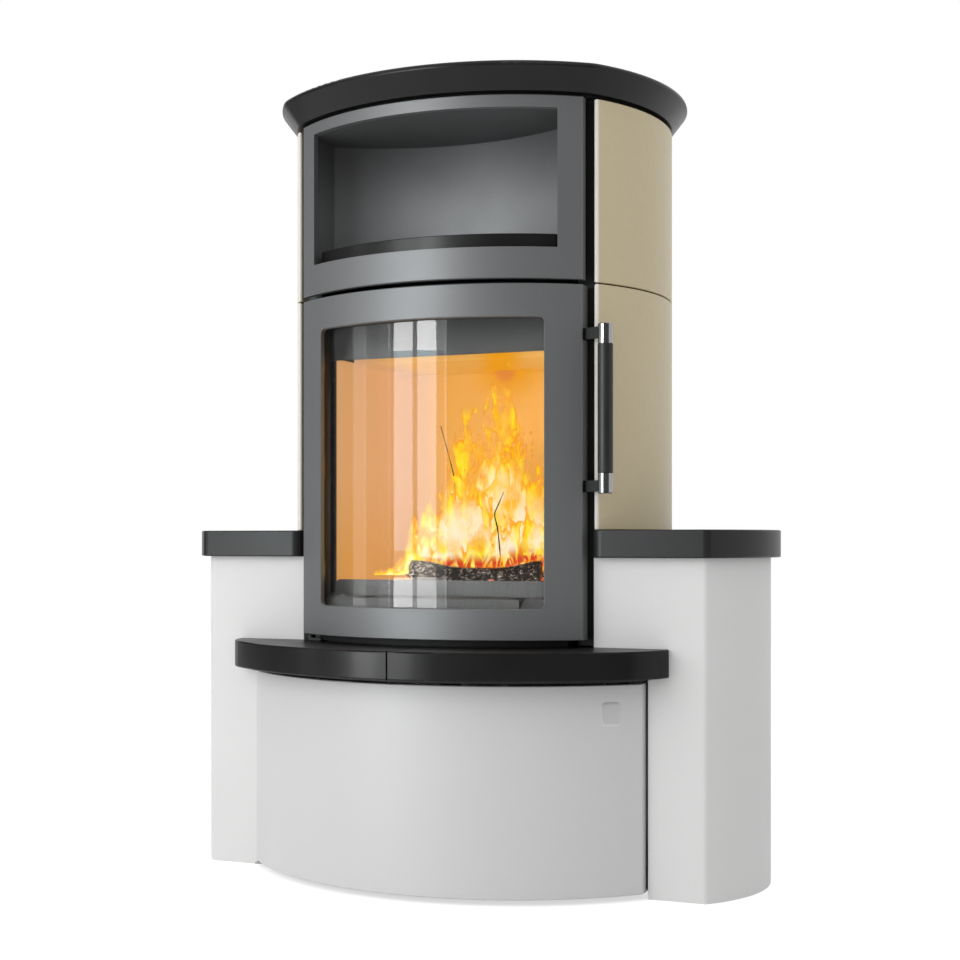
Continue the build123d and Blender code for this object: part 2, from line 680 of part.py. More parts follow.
inner_half = BOX_HALF - BOX_SHEET
lining_back_y = box_back_y - BOX_SHEET
side_brick_x = inner_half - SIDE_BRICK
brick_front = inner_plate_y + SHEET + MOVE_GAP
with BuildPart() as hearth_floor:
    with BuildSketch(Plane.XY.offset(hearth_low)):
        add(rectangle_between(-inner_half, inner_half, brick_front, lining_back_y))
        with Locations((0, oval_y - 10)):
            Rectangle(2 * GRATE_HALF_X + 2, GRATE_DEPTH + 2, mode=Mode.SUBTRACT)
    extrude(amount=HEARTH_THICK)
keep("hearth_floor", hearth_floor)

with BuildPart() as lining_back:
    with BuildSketch(Plane.XY.offset(HEARTH_TOP)):
        add(rectangle_between(-inner_half, inner_half, lining_back_y - BACK_BRICK, lining_back_y))
    extrude(amount=LINING_TOP - HEARTH_TOP)
    chamfer(lining_back.faces().sort_by(Axis.Y)[0].edges().filter_by(Axis.X), 3)
keep("lining_back", lining_back)

with BuildPart() as lining_side_right:
    with BuildSketch(Plane.XY.offset(HEARTH_TOP)):
        add(rectangle_between(side_brick_x, inner_half, brick_front, lining_back_y - BACK_BRICK))
    extrude(amount=LINING_TOP - HEARTH_TOP)
    chamfer(lining_side_right.faces().sort_by(Axis.Y)[0].edges().filter_by(Axis.Z).sort_by(Axis.X)[0],
            6)
keep("lining_side_right", lining_side_right, mirrored=True)

with BuildPart() as grate:
    with BuildSketch(Plane.XY.offset(ledge_high)):
        with Locations((0, oval_y - 10)):
            Rectangle(2 * GRATE_HALF_X, GRATE_DEPTH)
            with GridLocations(22, 62, 9, 2):
                SlotOverall(52, 9, rotation=90, mode=Mode.SUBTRACT)
    extrude(amount=HEARTH_THICK - 2)
keep("grate", grate)

pan_high = ledge_high - BOX_SHEET - 3
pan_low = BOX_LOW + BOX_SHEET
pan_half = PAN_WIDTH / 2
pan_front = oval_y - PAN_FORWARD
pan_back = pan_front + PAN_LENGTH
with BuildPart() as ash_pan:
    with BuildSketch(Plane.XY.offset(pan_low)):
        add(rectangle_between(-pan_half, pan_half, pan_front, pan_back))
    extrude(amount=pan_high - pan_low)
    with BuildSketch(Plane.XY.offset(pan_low + 2)):
        add(rectangle_between(2 - pan_half, pan_half - 2, pan_front + 2, pan_back - 2))
    extrude(amount=pan_high, mode=Mode.SUBTRACT)
keep("ash_pan", ash_pan)

guard_low = ledge_high - BOX_SHEET
with BuildPart() as log_guard:
    with BuildSketch(Plane.XY.offset(guard_low)):
        add(rectangle_between(GUARD_INSET - inner_half, inner_half - GUARD_INSET, inner_plate_y,
                              inner_plate_y + SHEET))
    extrude(amount=GUARD_TOP - guard_low)
    fillet(log_guard.edges().filter_by(Axis.Y).group_by(Axis.Z)[-1], 8)
keep("log_guard", log_guard)

with BuildPart() as air_wash_plate:
    with BuildSketch(Plane.XY.offset(LINING_TOP - 1)):
        add(rectangle_between(-inner_half, inner_half, inner_plate_y, inner_plate_y + SHEET))
    extrude(amount=BOX_HIGH - BOX_SHEET - LINING_TOP + 1)
keep("air_wash_plate", air_wash_plate)

with BuildPart() as baffle_plate:
    with BuildSketch(Plane.XY.offset(LINING_TOP)):
        add(rectangle_between(-inner_half, inner_half, oval_y - 60, lining_back_y))
    extrude(amount=20)
    chamfer(baffle_plate.faces().sort_by(Axis.Y)[0].edges().filter_by(Axis.X), 6)
keep("baffle_plate", baffle_plate)

log_sides = 9
log_flat = cos(radians(180 / log_sides))
cross_log_x = 30.0
front_log = (LOG_RADIUS, LOG_LENGTH, (32.0, oval_y - 82.0), 5.0)
rear_log = (1.4 * LOG_RADIUS, 1.1 * LOG_LENGTH, (-8.0, oval_y + 12.0), -9.0)
with BuildPart() as logs:
    for radius, length, place, turn in (front_log, rear_log):
        log_plane = Plane(
            origin=(*place, HEARTH_TOP + radius * log_flat),
            x_dir=(0, 0, 1),
            z_dir=(cos(radians(turn)), sin(radians(turn)), 0),
        )
        with BuildSketch(log_plane):
            RegularPolygon(radius, log_sides)
        extrude(amount=length / 2, both=True)
    rests = []
    for radius, length, place, turn in (front_log, rear_log):
        rest_y = place[1] + (cross_log_x - place[0]) * tan(radians(turn))
        rests.append((rest_y, HEARTH_TOP + radius * (1 + log_flat)))
    rise = atan2(rests[1][1] - rests[0][1], rests[1][0] - rests[0][0])
    lift = (rests[0][1] + rests[1][1]) / 2 + (LOG_RADIUS + SEAT_GAP) / cos(rise)
    cross_plane = Plane(
        origin=(cross_log_x, (rests[0][0] + rests[1][0]) / 2, lift),
        x_dir=(1, 0, 0),
        z_dir=(0, cos(rise), sin(rise)),
    )
    with BuildSketch(cross_plane):
        RegularPolygon(LOG_RADIUS, log_sides)
    extrude(amount=0.35 * LOG_LENGTH, both=True)
keep("logs", logs)

with BuildPart() as smoke_box:
    with BuildSketch(Plane.XY.offset(BOX_HIGH)):
        add(rectangle_between(-SMOKE_BOX_HALF, SMOKE_BOX_HALF, oval_y, box_back_y))
    extrude(amount=SMOKE_BOX_HEIGHT)
    with BuildSketch(Plane.XY.offset(BOX_HIGH)):
        add(rectangle_between(SHEET - SMOKE_BOX_HALF, SMOKE_BOX_HALF - SHEET, oval_y + SHEET,
                              box_back_y - SHEET))
    extrude(amount=SMOKE_BOX_HEIGHT - SHEET, mode=Mode.SUBTRACT)
    with BuildSketch(Plane.XZ.offset(-box_back_y)):
        with Locations((0, FLUE_Z)):
            Circle(FLUE_RADIUS + COLLAR_WALL / 2)
    extrude(amount=2 * SHEET, mode=Mode.SUBTRACT)
keep("smoke_box", smoke_box)

with BuildPart() as flue_collar:
    with BuildSketch(Plane.XZ.offset(-rear_y)):
        with Locations((0, FLUE_Z)):
            Circle(FLUE_RADIUS + COLLAR_WALL)
            Circle(FLUE_RADIUS, mode=Mode.SUBTRACT)
    extrude(amount=rear_y - box_back_y)
keep("flue_collar", flue_collar)

# ---------------------------------------------------------------- air supply
air_front = oval_y - 60.0
air_back = casing_rear_y - SHEET
with BuildPart() as air_box:
    with BuildSketch(Plane.XY.offset(AIR_BOX_LOW)):
        add(rectangle_between(-AIR_BOX_HALF, AIR_BOX_HALF, air_front, air_back))
    extrude(amount=bearer_low - AIR_BOX_LOW)
    with BuildSketch(Plane.XY.offset(AIR_BOX_LOW + SHEET)):
        add(rectangle_between(SHEET - AIR_BOX_HALF, AIR_BOX_HALF - SHEET, air_front + SHEET,
                              air_back - SHEET))
    extrude(amount=bearer_low - AIR_BOX_LOW, mode=Mode.SUBTRACT)
    with BuildSketch(Plane.XZ.offset(-air_front)):
        with Locations((0, AIR_ROD_Z)):
            Circle(AIR_ROD_RADIUS + RUN_GAP)
    extrude(amount=-2 * SHEET, mode=Mode.SUBTRACT)
    with BuildSketch(Plane.XZ.offset(-air_back)):
        with Locations((0, AIR_INLET_Z)):
            Circle(AIR_INLET_RADIUS - COLLAR_WALL)
    extrude(amount=2 * SHEET, mode=Mode.SUBTRACT)
keep("air_box", air_box)

with BuildPart() as air_inlet:
    with BuildSketch(Plane.XZ.offset(-rear_y)):
        with Locations((0, AIR_INLET_Z)):
            Circle(AIR_INLET_RADIUS)
            Circle(AIR_INLET_RADIUS - COLLAR_WALL, mode=Mode.SUBTRACT)
    extrude(amount=rear_y - casing_rear_y)
keep("air_inlet", air_inlet)

rod_front = air_front - AIR_TRAVEL - 10.0
valve_high = bearer_low - SEAT_GAP
with BuildPart() as air_slider:
    with BuildSketch(Plane.XZ.offset(-rod_front)):
        with Locations((0, AIR_ROD_Z)):
            Circle(AIR_ROD_RADIUS)
    extrude(amount=rod_front - air_slot_y)
    with BuildSketch(Plane.XY.offset(valve_high)):
        with Locations((0, air_slot_y)):
            Rectangle(AIR_SLOT_LENGTH + 20, AIR_SLOT_WIDTH + 14)
    extrude(amount=-SHEET)
    with BuildSketch(Plane.XY.offset(valve_high)):
        with Locations((0, air_slot_y - 10)):
            Rectangle(2 * AIR_ROD_RADIUS, 20)
    extrude(amount=AIR_ROD_Z - valve_high)
keep("air_slider", air_slider)

with BuildPart() as air_knob:
    with BuildSketch(Plane.XZ.offset(-rod_front)):
        with Locations((0, AIR_ROD_Z)):
            Circle(15)
    extrude(amount=22)
    chamfer(air_knob.faces().sort_by(Axis.Y)[0].edges(), 3)
keep("air_knob", air_knob)

# ---------------------------------------------------------------- fire door
glass_front_bow = DOOR_BOW - 11.0 - GASKET_THICK
glass_half = WINDOW_HALF + GLASS_LAP
rebate_half = glass_half + 1.5
with BuildPart() as door_frame:
    with BuildSketch(Plane.XY.offset(DOOR_LOW)):
        add(bowed_strip(DOOR_BOW, DOOR_BOW - DOOR_SKIN, DOOR_HALF))
        add(bowed_strip(DOOR_BOW - DOOR_SKIN + 1, DOOR_BOW - DOOR_DEPTH, DOOR_CORE_HALF))
        add(bowed_strip(DOOR_BOW - DOOR_SKIN + 1, DOOR_BOW - DOOR_DEPTH, DOOR_HALF)
            & rectangle_between(0, WIDE, -WIDE, WIDE))
    extrude(amount=DOOR_HIGH - DOOR_LOW)
    for eye_low in (DOOR_LOW + 2, DOOR_HIGH - 2 - EYE_HEIGHT):
        with BuildSketch(Plane.XY.offset(eye_low)):
            with Locations((HINGE_X, hinge_y)):
                Circle(EYE_RADIUS)
            add(rectangle_between(HINGE_X, HINGE_X + 16, hinge_y - 6, hinge_y + 4))
            add(rectangle_between(HINGE_X - 6, HINGE_X + 6, hinge_y - 9, hinge_y))
        extrude(amount=EYE_HEIGHT)
    with BuildSketch(Plane.XZ):
        add(window(WINDOW_HALF, WINDOW_LOW, WINDOW_HIGH, WINDOW_CORNER))
    extrude(amount=WIDE / 2, mode=Mode.SUBTRACT)
    with BuildSketch(Plane.XY.offset(WINDOW_LOW - GLASS_LAP - 1.5)):
        add(bowed_strip(DOOR_BOW - 11.0, DOOR_BOW - DOOR_DEPTH - 1, rebate_half))
    extrude(amount=WINDOW_HIGH - WINDOW_LOW + 2 * GLASS_LAP + 3, mode=Mode.SUBTRACT)
    with BuildSketch(Plane.XY.offset(DOOR_LOW)):
        with Locations((HINGE_X, hinge_y)):
            Circle(PIN_RADIUS + RUN_GAP)
    extrude(amount=DOOR_HIGH - DOOR_LOW, mode=Mode.SUBTRACT)
    outer_skin = door_frame.faces().filter_by(GeomType.CYLINDER).sort_by(Axis.Y)
    outer_skin = [face for face in outer_skin if face.area > 90000][0]
    chamfer(outer_skin.outer_wire().edges(), EDGE_BREAK)
    chamfer(outer_skin.inner_wires().edges(), EDGE_BREAK)
keep("door_frame", door_frame)

with BuildPart() as door_glass:
    with BuildSketch(Plane.XY.offset(WINDOW_LOW - GLASS_LAP)):
        add(bowed_strip(glass_front_bow, glass_front_bow - GLASS_THICK, glass_half))
    extrude(amount=WINDOW_HIGH - WINDOW_LOW + 2 * GLASS_LAP)
keep("door_glass", door_glass)

with BuildPart() as glass_gasket:
    with BuildSketch(Plane.XY.offset(WINDOW_LOW - GLASS_LAP)):
        add(bowed_strip(DOOR_BOW - 11.0, glass_front_bow, glass_half))
    extrude(amount=WINDOW_HIGH - WINDOW_LOW + 2 * GLASS_LAP)
    with BuildSketch(Plane.XZ):
        add(window(WINDOW_HALF + 1, WINDOW_LOW - 1, WINDOW_HIGH + 1, WINDOW_CORNER))
    extrude(amount=WIDE / 2, mode=Mode.SUBTRACT)
keep("glass_gasket", glass_gasket)

clip_bow = glass_front_bow - GLASS_THICK - 0.1
clip_height = 30.0
clip_inset = 40.0          # outer clips from the window's low and high edge
clip_step = (WINDOW_HIGH - WINDOW_LOW - 2 * clip_inset - clip_height) / 2
with BuildPart() as glass_clips:
    for clip_index in range(3):
        with BuildSketch(Plane.XY.offset(WINDOW_LOW + clip_inset + clip_index * clip_step)):
            add(bowed_strip(clip_bow, clip_bow - 2, rebate_half - 0.2))
            add(rectangle_between(4 - MOUTH_HALF, MOUTH_HALF - 4, -WIDE, WIDE),
                mode=Mode.SUBTRACT)
        extrude(amount=clip_height)
keep("glass_clips", glass_clips)

# ---------------------------------------------------------------- hinge brackets
boss_height = DOOR_LOW - sill_high - 2 * MOVE_GAP
with BuildPart() as hinge_bracket_lower:
    with BuildSketch(Plane.XY.offset(sill_high + MOVE_GAP)):
        add(rectangle_between(HINGE_X - 8, HINGE_X + 22, hinge_y - 8, hinge_y + 8))
        add(bowed_strip(DOOR_BOW - DOOR_SKIN, FRONT_FRAME_BOW, -HINGE_X), mode=Mode.INTERSECT)
        with Locations((HINGE_X, hinge_y)):
            Circle(7)
    extrude(amount=4)
    with BuildSketch(Plane.XY.offset(sill_high + MOVE_GAP)):
        with Locations((HINGE_X, hinge_y)):
            Circle(7)
    extrude(amount=boss_height)
    with BuildSketch(Plane.XY.offset(sill_high + MOVE_GAP)):
        with Locations((HINGE_X, hinge_y)):
            Circle(PIN_RADIUS)
    extrude(amount=boss_height + EYE_HEIGHT)
keep("hinge_bracket_lower", hinge_bracket_lower)

with BuildPart() as hinge_bracket_upper:
    with BuildSketch(Plane.XY.offset(DOOR_HIGH + 1)):
        add(rectangle_between(HINGE_X - 8, HINGE_X + 22, hinge_y - 8, hinge_y + 8))
        add(bowed_strip(DOOR_BOW - DOOR_SKIN, FRONT_FRAME_BOW, -HINGE_X), mode=Mode.INTERSECT)
        with Locations((HINGE_X, hinge_y)):
            Circle(7)
    extrude(amount=4)
    with BuildSketch(Plane.XY.offset(DOOR_HIGH + 1)):
        with Locations((HINGE_X, hinge_y)):
            Circle(PIN_RADIUS)
    extrude(amount=-EYE_HEIGHT)
keep("hinge_bracket_upper", hinge_bracket_upper)

# ---------------------------------------------------------------- latch and handle
arm_length = hypot(GRIP_X - LATCH_X, grip_y - latch_y)
arm_turn = degrees(atan2(grip_y - latch_y, GRIP_X - LATCH_X))
with BuildPart() as latch_lever:
    with BuildSketch(Plane.XY.offset(lug_low_z - 18)):
        with Locations((LATCH_X, latch_y)):
            Circle(LATCH_SHAFT)
    extrude(amount=lug_high_z - lug_low_z + 36)
    for lug_z in (lug_low_z, lug_high_z):
        with BuildSketch(Plane.XY.offset(lug_z - LUG_HEIGHT / 2)):
            with Locations(Location((LATCH_X, latch_y, 0), (0, 0, arm_turn))):
                with Locations((arm_length / 2, 0)):
                    Rectangle(arm_length, LUG_THICK)
        extrude(amount=LUG_HEIGHT)
        with BuildSketch(Plane.XY.offset(lug_z - 5)):
            add(rectangle_between(LATCH_X - 3, LATCH_X + 3, latch_y, latch_y + TONGUE_REACH))
        extrude(amount=10)
    with BuildSketch(Plane.XY.offset(grip_low - CAP_LENGTH + 1)):
        with Locations((GRIP_X, grip_y)):
            Circle(CAP_RADIUS - 3, mode=Mode.ADD)
    extrude(amount=grip_high - grip_low + 2 * CAP_LENGTH - 2)
keep("latch_lever", latch_lever)

with BuildPart() as handle_grip:
    with BuildSketch(Plane.XY.offset(grip_low)):
        with Locations((GRIP_X, grip_y)):
            Circle(GRIP_RADIUS)
            Circle(CAP_RADIUS - 3, mode=Mode.SUBTRACT)
    extrude(amount=grip_high - grip_low)
    chamfer(
        [
            edge
            for edge in handle_grip.edges().filter_by(GeomType.CIRCLE)
            if abs(edge.radius - GRIP_RADIUS) < 0.1
        ],
        EDGE_BREAK,
    )
keep("handle_grip", handle_grip)

with BuildPart() as handle_caps:
    for cap_low in (grip_low - CAP_LENGTH, grip_high):
        with BuildSketch(Plane.XY.offset(cap_low)):
            with Locations((GRIP_X, grip_y)):
                Circle(CAP_RADIUS)
        extrude(amount=CAP_LENGTH)
    for end_face in handle_caps.faces().filter_by(Axis.Z).sort_by(Axis.Z)[:: 3]:
        chamfer(end_face.edges(), EDGE_BREAK)
    add(latch_lever.part, mode=Mode.SUBTRACT)
keep("handle_caps", handle_caps)

with BuildPart() as latch_strikes:
    for strike_z in (lug_low_z, lug_high_z):
        with BuildSketch(Plane.XY.offset(strike_z - 12)):
            add(rectangle_between(flange_x, LATCH_X - 4, latch_y + 4, flange_y))
        extrude(amount=24)
keep("latch_strikes", latch_strikes)

# Room in the door for the latch shaft, its tongues and its lugs
pieces.pop("door_frame")
with BuildPart() as door_frame_cut:
    add(door_frame.part)
    with BuildSketch(Plane.XY.offset(lug_low_z - 19)):
        with Locations((LATCH_X, latch_y)):
            Circle(LATCH_SHAFT + RUN_GAP)
    extrude(amount=lug_high_z - lug_low_z + 38, mode=Mode.SUBTRACT)
    for lug_z in (lug_low_z, lug_high_z):
        with BuildSketch(Plane.XY.offset(lug_z - LUG_HEIGHT / 2 - MOVE_GAP)):
            with BuildLine():
                Polyline(
                    (LATCH_X - 4.5, latch_y + 20),
                    (LATCH_X - 4.5, latch_y - 5),
                    (DOOR_HALF + 1, latch_y - 13),
                    (DOOR_HALF + 1, latch_y + 20),
                    close=True,
                )
            make_face()
        extrude(amount=LUG_HEIGHT + 2 * MOVE_GAP, mode=Mode.SUBTRACT)
keep("door_frame", door_frame_cut)

# ---------------------------------------------------------------- rope seal
with BuildPart() as door_rope_seal:
    rope_front = DOOR_BOW - DOOR_DEPTH
    with BuildSketch(Plane.XY.offset(MOUTH_LOW - 14)):
        add(bowed_strip(rope_front, FRONT_FRAME_BOW + SEAT_GAP, rope_line + ROPE / 2))
    extrude(amount=MOUTH_HIGH - MOUTH_LOW + 28)
    with BuildSketch(Plane.XZ):
        add(window(rope_line - ROPE / 2, MOUTH_LOW - 6, MOUTH_HIGH + 6, 4))
    extrude(amount=WIDE / 2, mode=Mode.SUBTRACT)
keep("door_rope_seal", door_rope_seal)

# ---------------------------------------------------------------- files
for name, solid in pieces.items():
    export_step(solid, f"parts/{name}.step")
print(len(pieces), "pieces")
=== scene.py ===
"""Tiled stove: finishes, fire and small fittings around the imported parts.

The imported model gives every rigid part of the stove. This script gives each part its finish and
adds what the solids leave plain: charred split logs, embers, ash, twigs, flames, the bare
plate, the braided rope of the door seal and the screws. Metres, X to the right, Y to the
back, Z up, origin on the floor.
"""

import math

import bpy
import numpy as np
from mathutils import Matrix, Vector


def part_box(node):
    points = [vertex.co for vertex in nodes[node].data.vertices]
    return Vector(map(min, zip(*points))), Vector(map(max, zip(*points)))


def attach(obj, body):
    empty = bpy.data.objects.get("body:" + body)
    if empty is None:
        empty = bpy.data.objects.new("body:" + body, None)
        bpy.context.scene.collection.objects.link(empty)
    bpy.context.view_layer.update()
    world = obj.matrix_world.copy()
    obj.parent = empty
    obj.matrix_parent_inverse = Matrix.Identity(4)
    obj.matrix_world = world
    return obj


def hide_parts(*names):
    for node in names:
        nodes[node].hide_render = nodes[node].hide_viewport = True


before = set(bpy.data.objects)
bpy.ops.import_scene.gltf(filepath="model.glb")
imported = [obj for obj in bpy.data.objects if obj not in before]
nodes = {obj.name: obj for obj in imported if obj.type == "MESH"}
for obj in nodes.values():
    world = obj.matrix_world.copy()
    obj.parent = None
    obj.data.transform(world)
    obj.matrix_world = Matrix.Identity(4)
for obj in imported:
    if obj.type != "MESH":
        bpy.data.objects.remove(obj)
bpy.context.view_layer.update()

TURN = 2 * math.pi

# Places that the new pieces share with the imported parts
BOW_CENTRE_Y = 0.2197      # common centre of the front bows
BASE_DOOR_BOW = BOW_CENTRE_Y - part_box("base_door")[0].y
TILE_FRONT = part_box("tile_upper_right")[0].y
HEARTH_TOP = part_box("hearth_floor")[1].z
CEILING = 0.879            # just under the baffle plate
SEAL_BOW = 0.39415         # radius of the middle of the rope seal
SEAL_HALF = 0.2204         # half its width, straight across
SEAL_LOW = 0.430
SEAL_HIGH = 0.942
EMBERS = (0.026, 0.050)    # middle of the heap of embers


# ---------------------------------------------------------------- surfaces
def circle(count):
    """The angles of points round a circle."""
    return np.linspace(0, TURN, count, endpoint=False)


def unit(vectors):
    """The vectors at length one."""
    return vectors / np.linalg.norm(vectors, axis=-1, keepdims=True)


def grid(*lines):
    """Each line's values at all points of the grid that the lines span."""
    return np.meshgrid(*lines, indexing="ij")


def quads(rows, columns, round_rows=False, round_columns=False):
    """Faces between neighbouring points of a grid. A round direction also joins last to first."""
    row, column = grid(np.arange(rows if round_rows else rows - 1),
                       np.arange(columns if round_columns else columns - 1))
    next_row = (row + 1) % rows
    next_column = (column + 1) % columns
    corners = [(row, column), (next_row, column), (next_row, next_column), (row, next_column)]
    return np.stack([a * columns + b for a, b in corners], -1).reshape(-1, 4)


def ring_quads(rings, sides):
    """Faces between neighbouring rings, each of the same number of sides."""
    return quads(rings, sides, round_columns=True)


def repeated(faces, points_each, count):
    """The faces of one shape, numbered on for a count of copies."""
    steps = np.arange(count) * points_each
    return (faces[None] + steps[:, None, None]).reshape(-1, faces.shape[1])


def placed(name, data):
    """A new object in the scene."""
    thing = bpy.data.objects.new(name, data)
    bpy.context.scene.collection.objects.link(thing)
    return thing


def piece(name, points, faces, finish, body, pattern=None, smooth=True):
    """A mesh at its place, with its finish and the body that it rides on.

    pattern gives each point's place on the surface, kept as the UV map "pattern".
    """
    mesh = bpy.data.meshes.new(name)
    mesh.from_pydata(points.reshape(-1, 3).tolist(), [], faces.tolist())
    if pattern is not None:
        loops = np.empty(len(mesh.loops), np.int32)
        mesh.loops.foreach_get("vertex_index", loops)
        layer = mesh.uv_layers.new(name="pattern")
        layer.data.foreach_set("uv", pattern.reshape(-1, 2)[loops].astype(np.float32).ravel())
    mesh.polygons.foreach_set("use_smooth", np.full(len(mesh.polygons), smooth))
    mesh.materials.append(finish)
    mesh.validate()
    thing = placed(name, mesh)
    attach(thing, body)
    return thing


def wander(points, size, seed, waves=28):
    """A smooth random height for each point: a sum of cosines, each with its own direction,
    a wavelength near the size, and its own phase."""
    chance = np.random.default_rng(seed)
    heading = unit(chance.normal(size=(waves, points.shape[-1])))
    heading *= TURN / size * chance.uniform(0.55, 1.5, (waves, 1))
    phase = chance.uniform(0, TURN, waves)
    return np.cos(points @ heading.T + phase).sum(-1) * math.sqrt(2 / waves)


def round_box(rings, sides, power):
    """A flat box from -1 to 1 with round corners: rings over a superellipse of this power. Gives
    each point's share of the way out, and its two coordinates."""
    out, around = grid(np.linspace(0, 1, rings), circle(sides))
    cosine, sine = np.cos(around), np.sin(around)
    reach = out / (np.abs(cosine) ** power + np.abs(sine) ** power) ** (1 / power)
    return out, cosine * reach, sine * reach


def bow_y(radius, x):
    """Y of a front bow of this radius at x."""
    return BOW_CENTRE_Y - np.sqrt(radius**2 - x**2)


# ---------------------------------------------------------------- finishes
class Finish:
    """A procedural finish: its material, its Principled shader and short calls for nodes."""

    def __init__(self, name, **sockets):
        self.material = bpy.data.materials.new(name)
        self.material.use_nodes = True
        self.tree = self.material.node_tree
        self.shader = self.tree.nodes["Principled BSDF"]
        self.output = self.tree.nodes["Material Output"]
        for socket, value in sockets.items():
            self.shader.inputs[socket.replace("_", " ")].default_value = value
        self.place = self.add("ShaderNodeTexCoord").outputs["Object"]
        self.skin = None

    def add(self, kind, inputs=None, **settings):
        """A node with its settings. An input is a value, or another node's output."""
        node = self.tree.nodes.new(kind)
        for setting, value in settings.items():
            setattr(node, setting, value)
        for socket, value in (inputs or {}).items():
            if isinstance(value, bpy.types.NodeSocket):
                self.tree.links.new(value, node.inputs[socket])
            else:
                node.inputs[socket].default_value = value
        return node

    def stretched(self, scale, place=None):
        """The place with each direction scaled, for a pattern that runs one way."""
        return self.add("ShaderNodeMapping", {"Vector": place or self.place, "Scale": scale}
                        ).outputs["Vector"]

    def noise(self, scale, detail=3.0, rough=0.55, place=None, twist=0.0):
        """Cloudy noise from 0 to 1."""
        inputs = {"Vector": place or self.place, "Scale": scale, "Detail": detail,
                  "Roughness": rough, "Distortion": twist}
        return self.add("ShaderNodeTexNoise", inputs).outputs["Fac"]

    def cells(self, scale, feature="F1", place=None):
        """Distance inside random cells."""
        return self.add("ShaderNodeTexVoronoi", {"Vector": place or self.place, "Scale": scale},
                        feature=feature).outputs["Distance"]

    def spread(self, value, low, high, to_low=0.0, to_high=1.0, smooth=False):
        """The value moved from one range to another and kept inside it."""
        inputs = {"Value": value, "From Min": low, "From Max": high, "To Min": to_low,
                  "To Max": to_high}
        kind = "SMOOTHSTEP" if smooth else "LINEAR"
        return self.add("ShaderNodeMapRange", inputs, interpolation_type=kind).outputs["Result"]

    def sum(self, kind, first, second=0.0):
        """One step of arithmetic."""
        return self.add("ShaderNodeMath", {0: first, 1: second}, operation=kind).outputs[0]

    def product(self, *factors):
        """The factors multiplied."""
        result = factors[0]
        for factor in factors[1:]:
            result = self.sum("MULTIPLY", result, factor)
        return result

    def axes(self, place=None):
        """X, Y and Z of a place."""
        return self.add("ShaderNodeSeparateXYZ", {"Vector": place or self.place}).outputs

    def measure(self, kind, point, place=None):
        """A number from the place and a point, such as their distance."""
        inputs = {0: place or self.place, 1: point}
        return self.add("ShaderNodeVectorMath", inputs, operation=kind).outputs["Value"]

    def surface(self, node):
        """Gives the material a surface other than the plain shader."""
        self.tree.links.new(node.outputs[0], self.output.inputs["Surface"])

    def pattern(self):
        """The place on the surface, from the piece's own UV map."""
        return self.add("ShaderNodeUVMap", uv_map="pattern").outputs["UV"]

    def blend(self, share, first, second):
        """Two colours mixed by a share."""
        node = self.tree.nodes.new("ShaderNodeMix")
        node.data_type = "RGBA"
        for socket, value in (("Factor", share), ("A", first), ("B", second)):
            target = [s for s in node.inputs if s.name == socket and s.enabled][0]
            if isinstance(value, bpy.types.NodeSocket):
                self.tree.links.new(value, target)
            else:
                target.default_value = value
        return [s for s in node.outputs if s.enabled][0]

    def ramp(self, value, stops):
        """Colours along a value."""
        node = self.add("ShaderNodeValToRGB", {"Fac": value})
        marks = node.color_ramp.elements
        while len(marks) < len(stops):
            marks.new(0.5)
        for mark, (place, colour) in zip(marks, stops):
            mark.position = place
            mark.color = colour
        return node.outputs["Color"]

    def wire(self, value, socket):
        """Leads a value to the shader's socket."""
        self.tree.links.new(value, self.shader.inputs[socket])

    def colour(self, value):
        """Leads a colour to the base colour."""
        self.wire(value, "Base Color")

    def roughness(self, value, low, high):
        """Leads the middle of a noise, spread from low to high, to the roughness."""
        self.wire(self.spread(value, 0.3, 0.7, low, high), "Roughness")

    def relief(self, height, distance, strength):
        """Small relief of the surface, from a height of 0 to 1 and its real depth. It lies on
        the relief of the call before it."""
        inputs = {"Height": height, "Distance": distance, "Strength": strength}
        if self.skin:
            inputs["Normal"] = self.skin
        self.skin = self.add("ShaderNodeBump", inputs).outputs["Normal"]
        self.wire(self.skin, "Normal")


def grey(level, tint=(1.0, 1.0, 1.0)):
    """A grey of this level with a slight tint."""
    return (level * tint[0], level * tint[1], level * tint[2], 1.0)


def painted_mineral():
    """White painted cast mineral: fine grain, faint clouds and pores."""
    finish = Finish("cast_white", Specular_IOR_Level=0.3)
    cloud = finish.noise(5.0, 4.0)
    grain = finish.noise(420.0, 2.0)
    tone = finish.blend(cloud, grey(0.85, (1.0, 1.0, 0.99)), grey(0.89, (1.0, 1.0, 0.995)))
    tone = finish.blend(finish.spread(grain, 0.3, 0.7, 0.0, 0.12), tone, grey(0.70))
    finish.colour(tone)
    finish.roughness(cloud, 0.52, 0.64)
    pores = finish.spread(finish.cells(260.0), 0.0, 0.25)
    finish.relief(pores, 0.00006, 0.35)
    finish.relief(grain, 0.00010, 0.5)
    return finish.material


def sprayed_white():
    """White sprayed sheet of the base door: satin, with the faint skin of a spray coat. Its white is
    painted darker than the wings', as shade under the sill.
    """
    finish = Finish("sprayed_white", Specular_IOR_Level=0.35)
    cloud = finish.noise(4.0, 3.0)
    # Painted shade: this white is darker than the wings' white, standing in for the shade under the
    # sill.
    finish.colour(finish.blend(cloud, grey(0.735), grey(0.76)))
    finish.roughness(cloud, 0.40, 0.50)
    finish.relief(finish.noise(240.0, 2.0), 0.00005, 0.5)
    return finish.material


